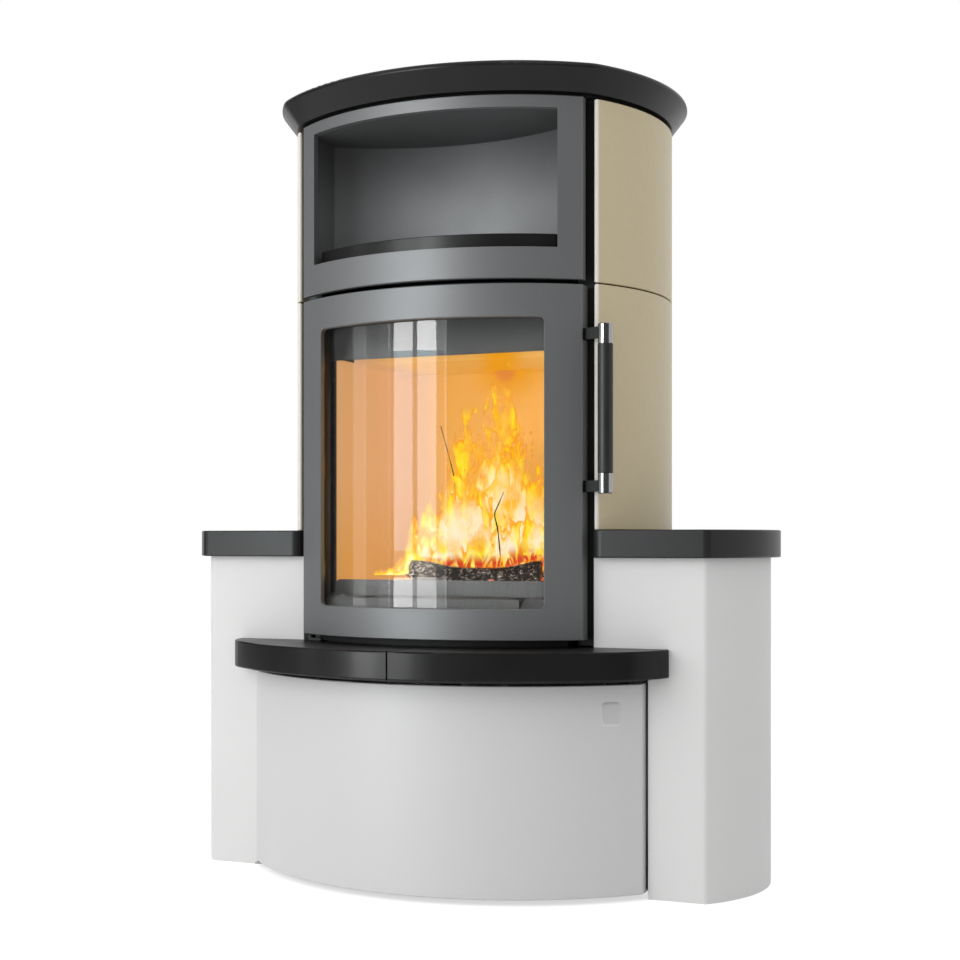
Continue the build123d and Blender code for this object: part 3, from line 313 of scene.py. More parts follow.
def dark_glaze(name, level, roughness, gloss):
    """Dark glazed ceramic: cloudy tone, tiny specks and a slightly wavy glaze."""
    finish = Finish(name, Specular_IOR_Level=gloss, Coat_Weight=0.10, Coat_Roughness=0.16)
    cloud = finish.noise(14.0, 5.0)
    specks = finish.spread(finish.cells(330.0), 0.16, 0.05)
    tone = finish.blend(cloud, grey(level * 0.75), grey(level * 1.25, (1.02, 1.0, 0.98)))
    tone = finish.blend(finish.product(specks, 0.30), tone, grey(level * 2.6))
    finish.colour(tone)
    finish.roughness(cloud, roughness - 0.04, roughness + 0.05)
    finish.relief(finish.noise(38.0, 2.0), 0.0003, 0.25)
    finish.relief(finish.noise(300.0, 2.0), 0.00004, 0.4)
    return finish.material


def cream_glaze():
    """Cream glazed tile: a soft colour drift in the glaze, fine crackle and a wavy skin. A painted
    highlight runs pale along the front edge."""
    finish = Finish("cream_glaze", Specular_IOR_Level=0.18, Coat_Weight=0.05, Coat_Roughness=0.12)
    drift = finish.noise(3.2, 3.0, place=finish.stretched((1.0, 1.0, 0.5)))
    fine = finish.noise(90.0, 4.0)
    tone = finish.blend(drift, (0.685, 0.585, 0.375, 1), (0.750, 0.645, 0.435, 1))
    tone = finish.blend(finish.spread(fine, 0.35, 0.75, 0.0, 0.22), tone, (0.64, 0.535, 0.340, 1))
    # Painted highlight: the tile's front edge is coloured pale, standing in for the light that its
    # rounded nose catches.
    painted_edge_highlight = finish.spread(finish.axes()["Y"], TILE_FRONT + 0.0042, TILE_FRONT + 0.0006,
                          smooth=True)
    finish.colour(finish.blend(painted_edge_highlight, tone, (0.95, 0.92, 0.85, 1)))
    finish.roughness(fine, 0.36, 0.44)
    finish.relief(finish.noise(11.0, 1.5), 0.0008, 0.3)
    finish.relief(fine, 0.000015, 0.3)
    return finish.material


def stove_paint():
    """Grey stove paint on steel: fine metallic flake in a satin film."""
    finish = Finish("stove_paint", Metallic=0.20, Specular_IOR_Level=0.40)
    flake = finish.noise(1400.0, 1.0)
    cloud = finish.noise(6.0, 3.0)
    tone = finish.blend(flake, grey(0.136, (0.97, 1.0, 1.02)), grey(0.218, (0.98, 1.0, 1.02)))
    tone = finish.blend(finish.product(cloud, 0.16), tone, grey(0.12))
    finish.colour(tone)
    finish.roughness(cloud, 0.44, 0.50)
    finish.relief(flake, 0.00004, 0.35)
    return finish.material


def liner_paint():
    """The warming compartment's paint: as the stove's, but painted paler to stand in for more light
    on it, and with painted shade darkening it towards its ceiling, a little more in its clouds."""
    finish = Finish("liner_paint", Metallic=0.20, Specular_IOR_Level=0.36)
    flake = finish.noise(1400.0, 1.0)
    cloud = finish.noise(6.0, 3.0)
    # Painted light: paler greys than the stove paint's, though it is the same paint.
    tone = finish.blend(flake, grey(0.195, (0.98, 1.0, 1.02)), grey(0.310, (0.98, 1.0, 1.02)))
    # Painted shade: darker towards the ceiling, where the top overhangs the compartment.
    painted_shade_and_cloud = finish.spread(finish.axes()["Z"], 1.10, 1.255, 0.0, 0.62, smooth=True)
    painted_shade_and_cloud = finish.sum("ADD", painted_shade_and_cloud, finish.spread(cloud, 0.3, 0.7, 0.0, 0.08))
    finish.colour(finish.blend(painted_shade_and_cloud, tone, grey(0.045)))
    finish.roughness(cloud, 0.52, 0.60)
    finish.relief(flake, 0.00004, 0.35)
    return finish.material


def badge_sheet():
    """Pale lacquered metal of the small bare plate on the base door, brushed upright."""
    finish = Finish("badge_sheet", Metallic=0.35, Specular_IOR_Level=0.5)
    brushed = finish.noise(240.0, 3.0, place=finish.stretched((6.0, 6.0, 0.3)))
    finish.colour(finish.blend(brushed, grey(0.60), grey(0.68)))
    finish.roughness(brushed, 0.30, 0.42)
    finish.relief(brushed, 0.00003, 0.4)
    return finish.material


def black_sheet():
    """Black painted sheet steel, a little dusty in its cloudy parts."""
    finish = Finish("black_sheet", Specular_IOR_Level=0.3)
    cloud = finish.noise(9.0, 4.0)
    grain = finish.noise(700.0, 2.0)
    finish.colour(finish.blend(cloud, grey(0.010), grey(0.018)))
    finish.roughness(cloud, 0.50, 0.62)
    finish.relief(grain, 0.00006, 0.5)
    return finish.material


def cast_iron():
    """Blackened cast iron: sandy skin, with the heat's brownish bloom in its clouds."""
    finish = Finish("cast_iron", Metallic=0.2, Specular_IOR_Level=0.35)
    sand = finish.noise(520.0, 4.0, 0.7)
    bloom = finish.noise(12.0, 4.0)
    finish.colour(finish.blend(bloom, grey(0.012), (0.028, 0.023, 0.019, 1)))
    finish.roughness(sand, 0.55, 0.75)
    finish.relief(sand, 0.0002, 0.6)
    return finish.material


def plate_steel():
    """Grey heat-proof plates behind the glass: brushed upright, with a soft bloom of heat and a
    sootier upper plate."""
    finish = Finish("plate_steel", Specular_IOR_Level=0.07)
    brushed = finish.noise(60.0, 3.0, place=finish.stretched((12.0, 12.0, 0.4)))
    bloom = finish.noise(9.0, 3.0)
    tone = finish.blend(finish.spread(brushed, 0.3, 0.7), grey(0.050), grey(0.096))
    tone = finish.blend(finish.product(bloom, 0.4), tone, (0.085, 0.078, 0.070, 1))
    sooty = finish.spread(finish.axes()["Z"], 0.80, 0.88, 0.0, 0.6)
    finish.colour(finish.blend(sooty, tone, grey(0.016)))
    finish.roughness(bloom, 0.40, 0.50)
    finish.relief(brushed, 0.00004, 0.4)
    return finish.material


def painted_firelight_brick():
    """Firebrick in a burning stove: the grain of pressed vermiculite, and the fire's light painted
    on as a warm glow from the brick itself, brighter upwards and to the right, with a deep orange
    spot and an upright band under the ceiling. Its colour is painted darker at the ceiling, as
    shade. The faces that look to the door get none of the painted glow and a near-black colour."""
    finish = Finish("painted_firelight_brick", Roughness=0.85, Specular_IOR_Level=0.05)
    x, y, z = finish.axes()
    grain = finish.noise(160.0, 4.0, 0.65)
    tone = finish.blend(grain, (0.26, 0.130, 0.040, 1), (0.34, 0.18, 0.060, 1))
    # Painted light: the brick's emission is the fire's light painted on, brighter upwards and to the
    # right, with its own tint at the left.
    upper = finish.spread(z, 0.50, 0.72, smooth=True)
    glow = finish.blend(upper, (0.560, 0.245, 0.030, 1), (0.710, 0.350, 0.062, 1))
    glow = finish.blend(finish.spread(x, 0.03, 0.20, smooth=True), glow, (0.80, 0.440, 0.090, 1))
    left_painted_firelight = finish.blend(upper, (0.560, 0.258, 0.050, 1), (0.600, 0.312, 0.125, 1))
    glow = finish.blend(finish.spread(x, -0.12, -0.20, smooth=True), glow, left_painted_firelight)
    # Painted light: a deep orange spot on the back and an upright band under the ceiling.
    spot = finish.measure("DISTANCE", (0.0, 0.207, 0.895))
    painted_band = finish.measure("DOT_PRODUCT", (0.926, 0.378, 0.0))
    painted_band = finish.sum("ABSOLUTE", finish.sum("SUBTRACT", painted_band, 0.0622))
    painted_band = finish.product(finish.spread(painted_band, 0.052, 0.010, smooth=True),
                          finish.spread(z, 0.868, CEILING))
    hot = finish.sum("MAXIMUM", finish.spread(spot, 0.098, 0.012, smooth=True), painted_band)
    # Painted shade: the colour is darker at the ceiling.
    ceiling = finish.spread(z, CEILING - 0.005, CEILING, 0.0, 0.35)
    tone = finish.blend(ceiling, tone, (0.10, 0.045, 0.010, 1))
    glow = finish.blend(hot, glow, (0.90, 0.36, 0.0, 1))
    # Where the painted glow is hottest, the colour under it is darker.
    tone = finish.blend(hot, tone, (0.10, 0.035, 0.0, 1))
    # Painted light: a small deeper orange core at the ceiling, near the painted spot.
    core = finish.spread(finish.measure("DISTANCE", (-0.008, 0.207, CEILING)), 0.026, 0.012,
                         smooth=True)
    glow = finish.blend(finish.product(core, 0.8), glow, (0.80, 0.235, 0.045, 1))
    # The faces that look to the door get none of the painted glow and a near-black colour.
    door_faces = finish.sum("MAXIMUM", finish.spread(y, -0.0725, -0.0700),
                      finish.spread(finish.sum("ABSOLUTE", x), 0.2075, 0.2062))
    finish.wire(finish.blend(door_faces, (0.0, 0.0, 0.0, 1), glow), "Emission Color")
    finish.shader.inputs["Emission Strength"].default_value = 0.84
    finish.colour(finish.blend(door_faces, (0.012, 0.011, 0.010, 1), tone))
    finish.relief(grain, 0.0004, 0.5)
    return finish.material


def stove_glass():
    """Ceramic glass: clear to the eye and to the lamps, with a thin mirror skin."""
    finish = Finish("stove_glass", Base_Color=(0.97, 0.975, 0.97, 1), Roughness=0.0, IOR=1.26,
                    Transmission_Weight=1.0)
    ripple = finish.noise(22.0, 1.0, place=finish.stretched((1.0, 1.0, 0.25)))
    finish.relief(ripple, 0.0004, 0.10)
    rays = finish.add("ShaderNodeLightPath")
    clear = finish.add("ShaderNodeBsdfTransparent", {"Color": (0.94, 0.945, 0.94, 1)})
    pane = finish.add("ShaderNodeMixShader", {0: rays.outputs["Is Shadow Ray"],
                                              1: finish.shader.outputs[0], 2: clear.outputs[0]})
    finish.surface(pane)
    return finish.material


def braided_rope():
    """Black glass-fibre braid: crossed strands and loose fluff."""
    finish = Finish("braided_rope", Roughness=0.9, Specular_IOR_Level=0.2, Sheen_Weight=0.4,
                    Sheen_Roughness=0.6)
    along = finish.pattern()
    strand = finish.noise(1.0, 2.0, place=finish.stretched((900.0, 40.0, 1.0), along))
    finish.colour(finish.blend(strand, grey(0.016), grey(0.06, (1.0, 0.98, 0.95))))
    finish.relief(strand, 0.0003, 0.8)
    return finish.material


def plain_gasket():
    """Black flat gasket tape under the glass and between the tiles."""
    finish = Finish("gasket_tape", Roughness=0.95, Specular_IOR_Level=0.15)
    weave = finish.noise(600.0, 2.0)
    finish.colour(finish.blend(weave, grey(0.006), grey(0.016)))
    finish.relief(weave, 0.0002, 0.7)
    return finish.material


def chrome():
    """Polished and chromed steel with hair-fine turning marks, its colour painted dark to stand in
    for dark surroundings in its reflections.
    """
    finish = Finish("polished_chrome", Metallic=1.0)
    turned = finish.noise(70.0, 2.0, place=finish.stretched((1.0, 1.0, 26.0)))
    # Painted shade: darker greys than chrome's own colour, for dark reflections.
    finish.colour(finish.blend(turned, grey(0.28), grey(0.38)))
    finish.roughness(turned, 0.10, 0.20)
    return finish.material


def grip_black():
    """Black grip: matt moulded skin with a fine grain."""
    finish = Finish("grip_black", Specular_IOR_Level=0.35)
    grain = finish.noise(900.0, 2.0)
    cloud = finish.noise(25.0, 2.0)
    finish.colour(finish.blend(cloud, grey(0.013), grey(0.022)))
    finish.roughness(cloud, 0.42, 0.52)
    finish.relief(grain, 0.00012, 0.6)
    return finish.material


def zinc_sheet():
    """Galvanised sheet: fine pale spangles under a faint cloud."""
    finish = Finish("zinc_sheet", Metallic=0.85)
    spangle = finish.cells(110.0)
    cloud = finish.noise(20.0, 3.0)
    tone = finish.blend(spangle, grey(0.37), grey(0.43, (0.98, 1.0, 1.03)))
    finish.colour(finish.blend(cloud, tone, grey(0.34)))
    finish.roughness(cloud, 0.34, 0.52)
    return finish.material


def charred_wood():
    """Charred wood: cracked into small blocks, grey ash on the crests with the fire's light painted
    on it, more ash and brighter painted light at the front log's left tip, and embers deep in the
    cracks of the side that lies in the fire."""
    finish = Finish("charred_wood", Specular_IOR_Level=0.12)
    along = finish.pattern()
    blocks = finish.cells(1.0, "DISTANCE_TO_EDGE", finish.stretched((80.0, 300.0, 1.0), along))
    fibre = finish.noise(1.0, 4.0, 0.7, finish.stretched((60.0, 900.0, 1.0), along))
    ash = finish.noise(130.0, 4.0, 0.7)
    tone = finish.blend(fibre, grey(0.003), grey(0.014, (1.08, 1.0, 0.95)))
    x, _, z = finish.axes()
    tip = finish.spread(x, -0.035, -0.060)
    under = finish.spread(z, 0.565, 0.550)
    ash = finish.sum("ADD", ash, finish.product(tip, 0.08))
    crest = finish.product(finish.spread(blocks, 0.12, 0.05), finish.spread(ash, 0.50, 0.60), under)
    tone = finish.blend(finish.product(crest, 0.85), tone, grey(0.40, (1.0, 0.96, 0.93)))
    finish.colour(tone)
    finish.roughness(fibre, 0.55, 0.85)
    finish.relief(finish.spread(blocks, 0.0, 0.16), 0.0012, 0.9)
    finish.relief(fibre, 0.0004, 0.6)
    hot = finish.product(finish.spread(blocks, 0.10, 0.02),
                         finish.spread(finish.noise(24.0, 2.0), 0.50, 0.62),
                         finish.spread(z, 0.520, 0.538), under)
    # Painted light: the ash on the crests glows grey, brighter at the front log's left tip.
    painted_ash_light = finish.blend(tip, (0.085, 0.070, 0.062, 1), (0.25, 0.215, 0.190, 1))
    painted_ash_light = finish.blend(crest, (0, 0, 0, 1), painted_ash_light)
    finish.wire(finish.blend(hot, painted_ash_light, (1.0, 0.13, 0.012, 1)), "Emission Color")
    finish.shader.inputs["Emission Strength"].default_value = 1.6
    return finish.material


def wood_ash():
    """Grey wood ash and soot with darker crumbs."""
    finish = Finish("wood_ash", Roughness=0.95, Specular_IOR_Level=0.05)
    crumbs = finish.spread(finish.noise(260.0, 3.0, 0.65), 0.58, 0.70)
    drift = finish.noise(30.0, 3.0)
    tone = finish.blend(drift, grey(0.052), grey(0.080))
    finish.colour(finish.blend(crumbs, tone, grey(0.03)))
    finish.relief(finish.noise(320.0, 3.0), 0.0006, 0.7)
    return finish.material


def ember():
    """Embers: grey ash over a bed that glows through its gaps."""
    finish = Finish("ember_bed", Roughness=0.9, Specular_IOR_Level=0.15)
    lump = finish.noise(90.0, 4.0, 0.65)
    gaps = finish.cells(110.0, "DISTANCE_TO_EDGE")
    ash = finish.spread(finish.noise(60.0, 3.0), 0.42, 0.6)
    finish.colour(finish.blend(ash, grey(0.02), grey(0.30, (1.0, 0.95, 0.9))))
    glow = finish.product(finish.spread(gaps, 0.10, 0.01), finish.spread(lump, 0.40, 0.6))
    glow = finish.ramp(glow, [(0.0, (0.0, 0.0, 0.0, 1)), (0.35, (0.75, 0.06, 0.004, 1)),
                              (1.0, (1.0, 0.34, 0.03, 1))])
    finish.wire(glow, "Emission Color")
    finish.shader.inputs["Emission Strength"].default_value = 1.8
    finish.relief(lump, 0.002, 0.8)
    return finish.material


def flame():
    """Flame: clouds of noise drawn out upwards and curled, orange at their rims, yellow inside
    and clear outside. Low cores and one heart above the front log are pale, the roots are orange
    on the right and red at the logs. The pattern's X is the place across the fire, and its Y is
    the height as a share of how high the fire reaches there."""
    finish = Finish("flame")
    across, rise, _ = finish.axes(finish.pattern())
    place = finish.add("ShaderNodeVectorMath", {0: finish.place, 1: (1.3, 0.5, 0.8)},
                       operation="ADD").outputs[0]
    tongues = finish.noise(1.0, 2.5, 0.5, finish.stretched((27.0, 17.0, 11.0), place), 1.1)
    licks = finish.noise(1.0, 3.0, 0.55, finish.stretched((62.0, 34.0, 27.0), place), 1.3)
    pale = finish.noise(1.0, 2.0, 0.5, finish.stretched((17.0, 15.0, 11.0), place), 0.7)
    thin = finish.noise(1.0, 2.0, 0.5, finish.stretched((24.0, 21.0, 9.0), place), 1.5)
    density = finish.spread(rise, 0.30, 1.04, 0.98, -0.02)
    for more in (finish.spread(tongues, 0.32, 0.68, -0.60, 0.60),
                 finish.spread(licks, 0.30, 0.70, -0.27, 0.27),
                 finish.spread(rise, 0.12, 0.34, 0.30, 0.0)):
        density = finish.sum("ADD", density, more)
    veil = finish.product(finish.spread(thin, 0.42, 0.58), finish.spread(rise, 0.15, 0.45))
    clear = finish.product(finish.spread(density, 0.34, 0.47, smooth=True),
                           finish.spread(rise, 0.0, 0.04),
                           finish.spread(rise, 1.15, 1.04, smooth=True),
                           finish.spread(veil, 0.0, 1.0, 0.97, 0.50))
    colour = finish.ramp(finish.spread(density, 0.34, 1.60), [
        (0.00, (0.88, 0.19, 0.004, 1)), (0.10, (0.98, 0.36, 0.006, 1)),
        (0.24, (1.00, 0.60, 0.008, 1)), (0.44, (1.00, 0.77, 0.020, 1)),
        (0.64, (1.00, 0.88, 0.100, 1)), (1.00, (1.00, 0.91, 0.40, 1))])
    colour = finish.blend(finish.product(veil, 0.7), colour, (1.00, 0.44, 0.040, 1))
    core = finish.product(finish.spread(pale, 0.44, 0.56, smooth=True),
                          finish.spread(density, 0.55, 1.0), finish.spread(rise, 0.12, 0.22),
                          finish.spread(rise, 0.74, 0.40))
    heart = finish.measure("DISTANCE", (0.004, 0.0, 0.745), finish.stretched((1.0, 0.0, 1.25)))
    heart = finish.product(finish.spread(heart, 0.062, 0.018, smooth=True),
                           finish.spread(pale, 0.34, 0.46))
    colour = finish.blend(finish.sum("MAXIMUM", core, heart), colour, (1.00, 0.86, 0.60, 1))
    foot = finish.product(finish.spread(rise, 0.24, 0.06), finish.spread(across, -0.065, -0.035),
                          finish.spread(thin, 0.62, 0.46))
    colour = finish.blend(foot, colour, (0.96, 0.36, 0.012, 1))
    red = finish.product(finish.spread(licks, 0.58, 0.46, smooth=True),
                         finish.spread(rise, 0.30, 0.10), finish.spread(across, -0.07, -0.02))
    colour = finish.blend(red, colour, (0.66, 0.045, 0.012, 1))
    glow = finish.add("ShaderNodeEmission", {"Color": colour, "Strength": 1.05})
    nothing = finish.add("ShaderNodeBsdfTransparent")
    tongue = finish.add("ShaderNodeMixShader", {0: clear, 1: nothing.outputs[0],
                                                2: glow.outputs[0]})
    finish.surface(tongue)
    finish.tree.nodes.remove(finish.shader)
    return finish.material


finishes = {
    "cast": painted_mineral(),
    "sprayed": sprayed_white(),
    "top": dark_glaze("top_glaze", 0.012, 0.36, 0.16),
    "sill": dark_glaze("sill_glaze", 0.0110, 0.35, 0.10),
    "slab": dark_glaze("slab_glaze", 0.022, 0.42, 0.18),
    "tile": cream_glaze(),
    "paint": stove_paint(),
    "liner": liner_paint(),
    "badge": badge_sheet(),
    "sheet": black_sheet(),
    "iron": cast_iron(),
    "plate": plate_steel(),
    "brick": painted_firelight_brick(),
    "glass": stove_glass(),
    "rope": braided_rope(),
    "gasket": plain_gasket(),
    "chrome": chrome(),
    "grip": grip_black(),
    "zinc": zinc_sheet(),
    "char": charred_wood(),
    "ember": ember(),
    "ash": wood_ash(),
    "flame": flame(),
}

wearers = {
    "cast": "wing_left wing_right",
    "sprayed": "base_door",
    "badge": "badge_plate",
    "top": "top_plate recess_shelf",
    "sill": "sill_left sill_right",
    "slab": "wing_slab_left wing_slab_right",
    "tile": "tile_lower_left tile_lower_right tile_upper_left tile_upper_right",
    "paint": "upper_front_frame door_frame",
    "liner": "recess_liner",
    "sheet": "casing_side_left casing_side_right side_strip_left side_strip_right back_panel "
             "smoke_box flue_collar air_inlet body_plinth base_door_stiffener cabinet_top "
             "hinge_bracket_lower hinge_bracket_upper latch_lever latch_strikes base_door_catch",
    "iron": "front_frame grate",
    "plate": "log_guard air_wash_plate ash_pan firebox_shell",
    "brick": "hearth_floor lining_back lining_side_left lining_side_right baffle_plate",
    "glass": "door_glass",
    "rope": "door_rope_seal",
    "gasket": "glass_gasket tile_seals cabinet_feet top_spacer",
    "chrome": "handle_caps base_door_pins glass_clips",
    "grip": "handle_grip air_knob",
    "zinc": "air_box air_slider base_cabinet",
    "char": "logs",
}
for wearer, names in wearers.items():
    for node in names.split():
        mesh = nodes[node].data
        mesh.materials.clear()
        mesh.materials.append(finishes[wearer])


# ---------------------------------------------------------------- logs
def waist(along):
    """How far a log is burnt away along its length, from 0 to 1: a bell with a flat top."""
    return np.exp(-(((along - 0.08) / 0.33) ** 4))


def log(name, middle, length, radius, heading, seed, burnt=0.0):
    """A charred log: a ring carried along a straight line. The ring's radius swells and dents
    with a smooth random height, splits into blocks by a grid of narrow cracks, and shrinks to a
    point at each worn end. Where it is burnt away, the ring is smaller and lies lower."""
    along = np.concatenate([[-0.5] * 2, np.linspace(-0.5, 0.5, 150), [0.5] * 2])
    shrink = np.ones(len(along))
    shrink[[0, -1]] = 1e-4
    shrink[[1, -2]] = 0.55
    shrink[[2, -3]] = 0.93
    grid_along, grid_around = grid(along, circle(84))
    skin = np.stack([grid_along * length, np.cos(grid_around) * radius,
                     np.sin(grid_around) * radius], -1)
    swell = 1 + 0.030 * wander(skin, 0.07, seed) + 0.012 * wander(skin, 0.016, seed + 1)
    swell -= 0.05 * np.clip(wander(skin * (0.35, 1.0, 1.0), 0.03, seed + 2), 0.8, 2)
    lines = 0.5 + 0.5 * np.cos(grid_around * 13 + 1.3 * wander(skin, 0.05, seed + 3))
    rungs = 0.5 + 0.5 * np.cos(grid_along * length * TURN / 0.012
                               + 2.6 * wander(skin, 0.03, seed + 4))
    crack = np.maximum(lines**9, rungs**11)
    swell -= 0.055 * crack
    eaten = burnt * waist(grid_along)
    ring = radius * 0.965 * np.clip(swell, 0.6, 1.03) * shrink[:, None] * (1 - eaten)
    x = grid_along * length * 0.985
    across = np.cos(grid_around) * ring
    up = np.sin(grid_around) * ring - radius * 0.93 * eaten
    side = unit(np.cross((0, 0, 1), heading))
    top = np.cross(heading, side)
    points = middle + x[..., None] * heading + across[..., None] * side + up[..., None] * top
    pattern = np.stack([grid_along * length, grid_around / TURN * radius * 6.28], -1)
    faces = ring_quads(len(along), 84)[:, ::-1]
    return piece(name, points, faces, finishes["char"], "root", pattern)


def direction(degrees, climb=0.0):
    """Unit direction turned from X towards Y by an angle in degrees, and tilted upwards by one
    in radians."""
    turn = math.radians(degrees)
    return np.array([math.cos(turn) * math.cos(climb), math.sin(turn) * math.cos(climb),
                     math.sin(climb)])


FRONT_LOG_X = 0.0265
FRONT_LOG_LENGTH = 0.234
front_middle = (FRONT_LOG_X, -0.0107, HEARTH_TOP + 0.0202)
rear_middle = (-0.008, 0.0833, HEARTH_TOP + 0.0280)
cross_middle = (0.030, 0.0690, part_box("logs")[1].z - 0.0385)
cross_climb = math.atan2(0.0170, 0.0875)
front_log = log("front_log", front_middle, FRONT_LOG_LENGTH, 0.0206, direction(5), 11, 0.34)
rear_log = log("rear_log", rear_middle, 0.297, 0.0288, direction(-9), 21)
cross_log = log("cross_log", cross_middle, 0.150, 0.0200, direction(90, cross_climb), 31)
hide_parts("logs")
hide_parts("logs")
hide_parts("logs")


# ---------------------------------------------------------------- embers and twigs
def ember_bed():
    """A low heap under the logs: a disc of rings over an ellipse, whose height falls to the
    hearth at its rim and is roughened by two sizes of random lumps."""
    grid_out, grid_around = grid(np.linspace(0, 1, 46), circle(120))
    flat = np.stack([np.cos(grid_around) * grid_out * 0.146 + EMBERS[0],
                     np.sin(grid_around) * grid_out * 0.066 + EMBERS[1]], -1)
    flat *= 1 + 0.05 * wander(flat, 0.06, 41)[..., None] * grid_out[..., None] ** 2
    height = 0.012 * (1 - grid_out**2.4)
    height = height + 0.0022 * wander(flat, 0.02, 42) * (1 - grid_out**6)
    height = height + 0.0010 * wander(flat, 0.007, 43) * (1 - grid_out**6)
    height[0] = height[0].mean()
    flat[0] = flat[0].mean(0)
    height = np.clip(height, 0.0, None) + 0.0003
    points = np.concatenate([flat, (HEARTH_TOP + height)[..., None]], -1)
    return piece("ember_bed", points, ring_quads(46, 120), finishes["ember"], "root")


def ember_lumps(count):
    """Loose lumps of glowing charcoal: small balls of rings and sides, each dented by its own
    random height and flattened where it lies."""
    chance = np.random.default_rng(51)
    tilt, around = grid(np.linspace(0, math.pi, 8), circle(10))
    ball = np.stack([np.sin(tilt) * np.cos(around), np.sin(tilt) * np.sin(around),
                     np.cos(tilt)], -1)
    turn = chance.uniform(0, TURN, count)
    reach = np.sqrt(chance.uniform(0.05, 1.0, count))
    middle = np.stack([EMBERS[0] + 0.138 * reach * np.cos(turn),
                       EMBERS[1] + 0.062 * reach * np.sin(turn),
                       HEARTH_TOP + 0.013 * (1 - reach**2.4)], -1)
    size = chance.uniform(0.0035, 0.0085, count)
    shifts = chance.uniform(0, 9, (count, 1, 1, 3))
    dented = ball * (1 + 0.22 * wander(ball + shifts, 1.6, 52))[..., None]
    stretch = np.stack([chance.uniform(0.8, 1.5, count), chance.uniform(0.8, 1.3, count),
                        chance.uniform(0.55, 0.85, count)], -1)
    points = dented * (stretch * size[:, None])[:, None, None, :]
    points[..., 2] += size[:, None, None] * 0.45
    points = points + middle[:, None, None, :]
    faces = repeated(ring_quads(8, 10), 80, count)
    return piece("ember_lumps", points, faces, finishes["ember"], "root")


def twig(name, knots, radius, seed):
    """A thin charred stick: a ring carried along a bent line through the knots, thinner towards
    its tip and knobbly by a smooth random height."""
    knots = np.array(knots)
    step = np.linspace(0, len(knots) - 1, 60)
    spine = np.stack([np.interp(step, np.arange(len(knots)), knots[:, k]) for k in range(3)], -1)
    soft = np.ones(9) / 9
    padded = np.pad(spine, ((4, 4), (0, 0)), mode="edge")
    spine = np.stack([np.convolve(padded[:, k], soft, "valid") for k in range(3)], -1)
    run = unit(np.gradient(spine, axis=0))
    side = unit(np.cross(run, (0.0, 1.0, 0.0)))
    over = np.cross(run, side)
    thin = radius * np.linspace(1.0, 0.45, 60)
    thin[[0, -1]] = 1e-5
    around = circle(9)
    ring = thin[:, None] * (1 + 0.15 * wander(spine, 0.02, seed)[:, None])
    points = (spine[:, None] + (ring * np.cos(around))[..., None] * side[:, None]
              + (ring * np.sin(around))[..., None] * over[:, None])
    pattern = np.stack(np.broadcast_arrays(step[:, None] * 0.02, around[None] * radius), -1)
    faces = ring_quads(60, 9)[:, ::-1]
    return piece(name, points, faces, finishes["char"], "root", pattern)


def pan_ash():
    """Wood ash in the pan and beside it: three heaps, each over a box with round corners. The
    height rises from the rim by a steep curve and is roughened by two sizes of random lumps."""
    pan_low, pan_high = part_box("ash_pan")
    out, *box = round_box(40, 160, 10)
    box = np.stack(box, -1)
    rim = pan_high.z - 0.0045
    inner, outer = pan_high.x - 0.0035, 0.2150
    heaps = []
    for x0, x1, y0, y1, low in (
        (pan_low.x + 0.0035, inner, pan_low.y + 0.0035, pan_low.y + 0.15, rim),
        (-outer, -inner, pan_low.y + 0.002, -0.03, rim - 0.013),
        (inner, outer, pan_low.y + 0.002, -0.03, rim - 0.013),
    ):
        flat = box * ((x1 - x0) / 2, (y1 - y0) / 2) + ((x0 + x1) / 2, (y0 + y1) / 2)
        lumps = 0.0005 * wander(flat, 0.03, 71) + 0.0003 * wander(flat, 0.008, 72)
        height = low + (pan_high.z + 0.0036 - low) * (1 - out**9) + lumps * (1 - out**8)
        height[0], flat[0] = height[0].mean(), flat[0].mean(0)
        heaps.append(np.concatenate([flat, height[..., None]], -1))
    faces = repeated(ring_quads(40, 160), 40 * 160, 3)
    return piece("pan_ash", np.stack(heaps), faces, finishes["ash"], "root")


ember_bed()
ember_lumps(70)
pan_ash()
twig("long_twig", [(-0.034, 0.052, 0.5500), (-0.0333, 0.044, 0.623), (-0.0283, 0.022, 0.667),
                   (-0.0117, -0.020, 0.686), (-0.0207, -0.026, 0.725),
                   (-0.0334, -0.027, 0.770)], 0.0014, 61)
twig("short_twig", [(0.0860, -0.044, 0.5330), (0.0868, -0.058, 0.586), (0.0796, -0.058, 0.613),
                    (0.0886, -0.058, 0.631), (0.0984, -0.060, 0.651)], 0.0013, 62)


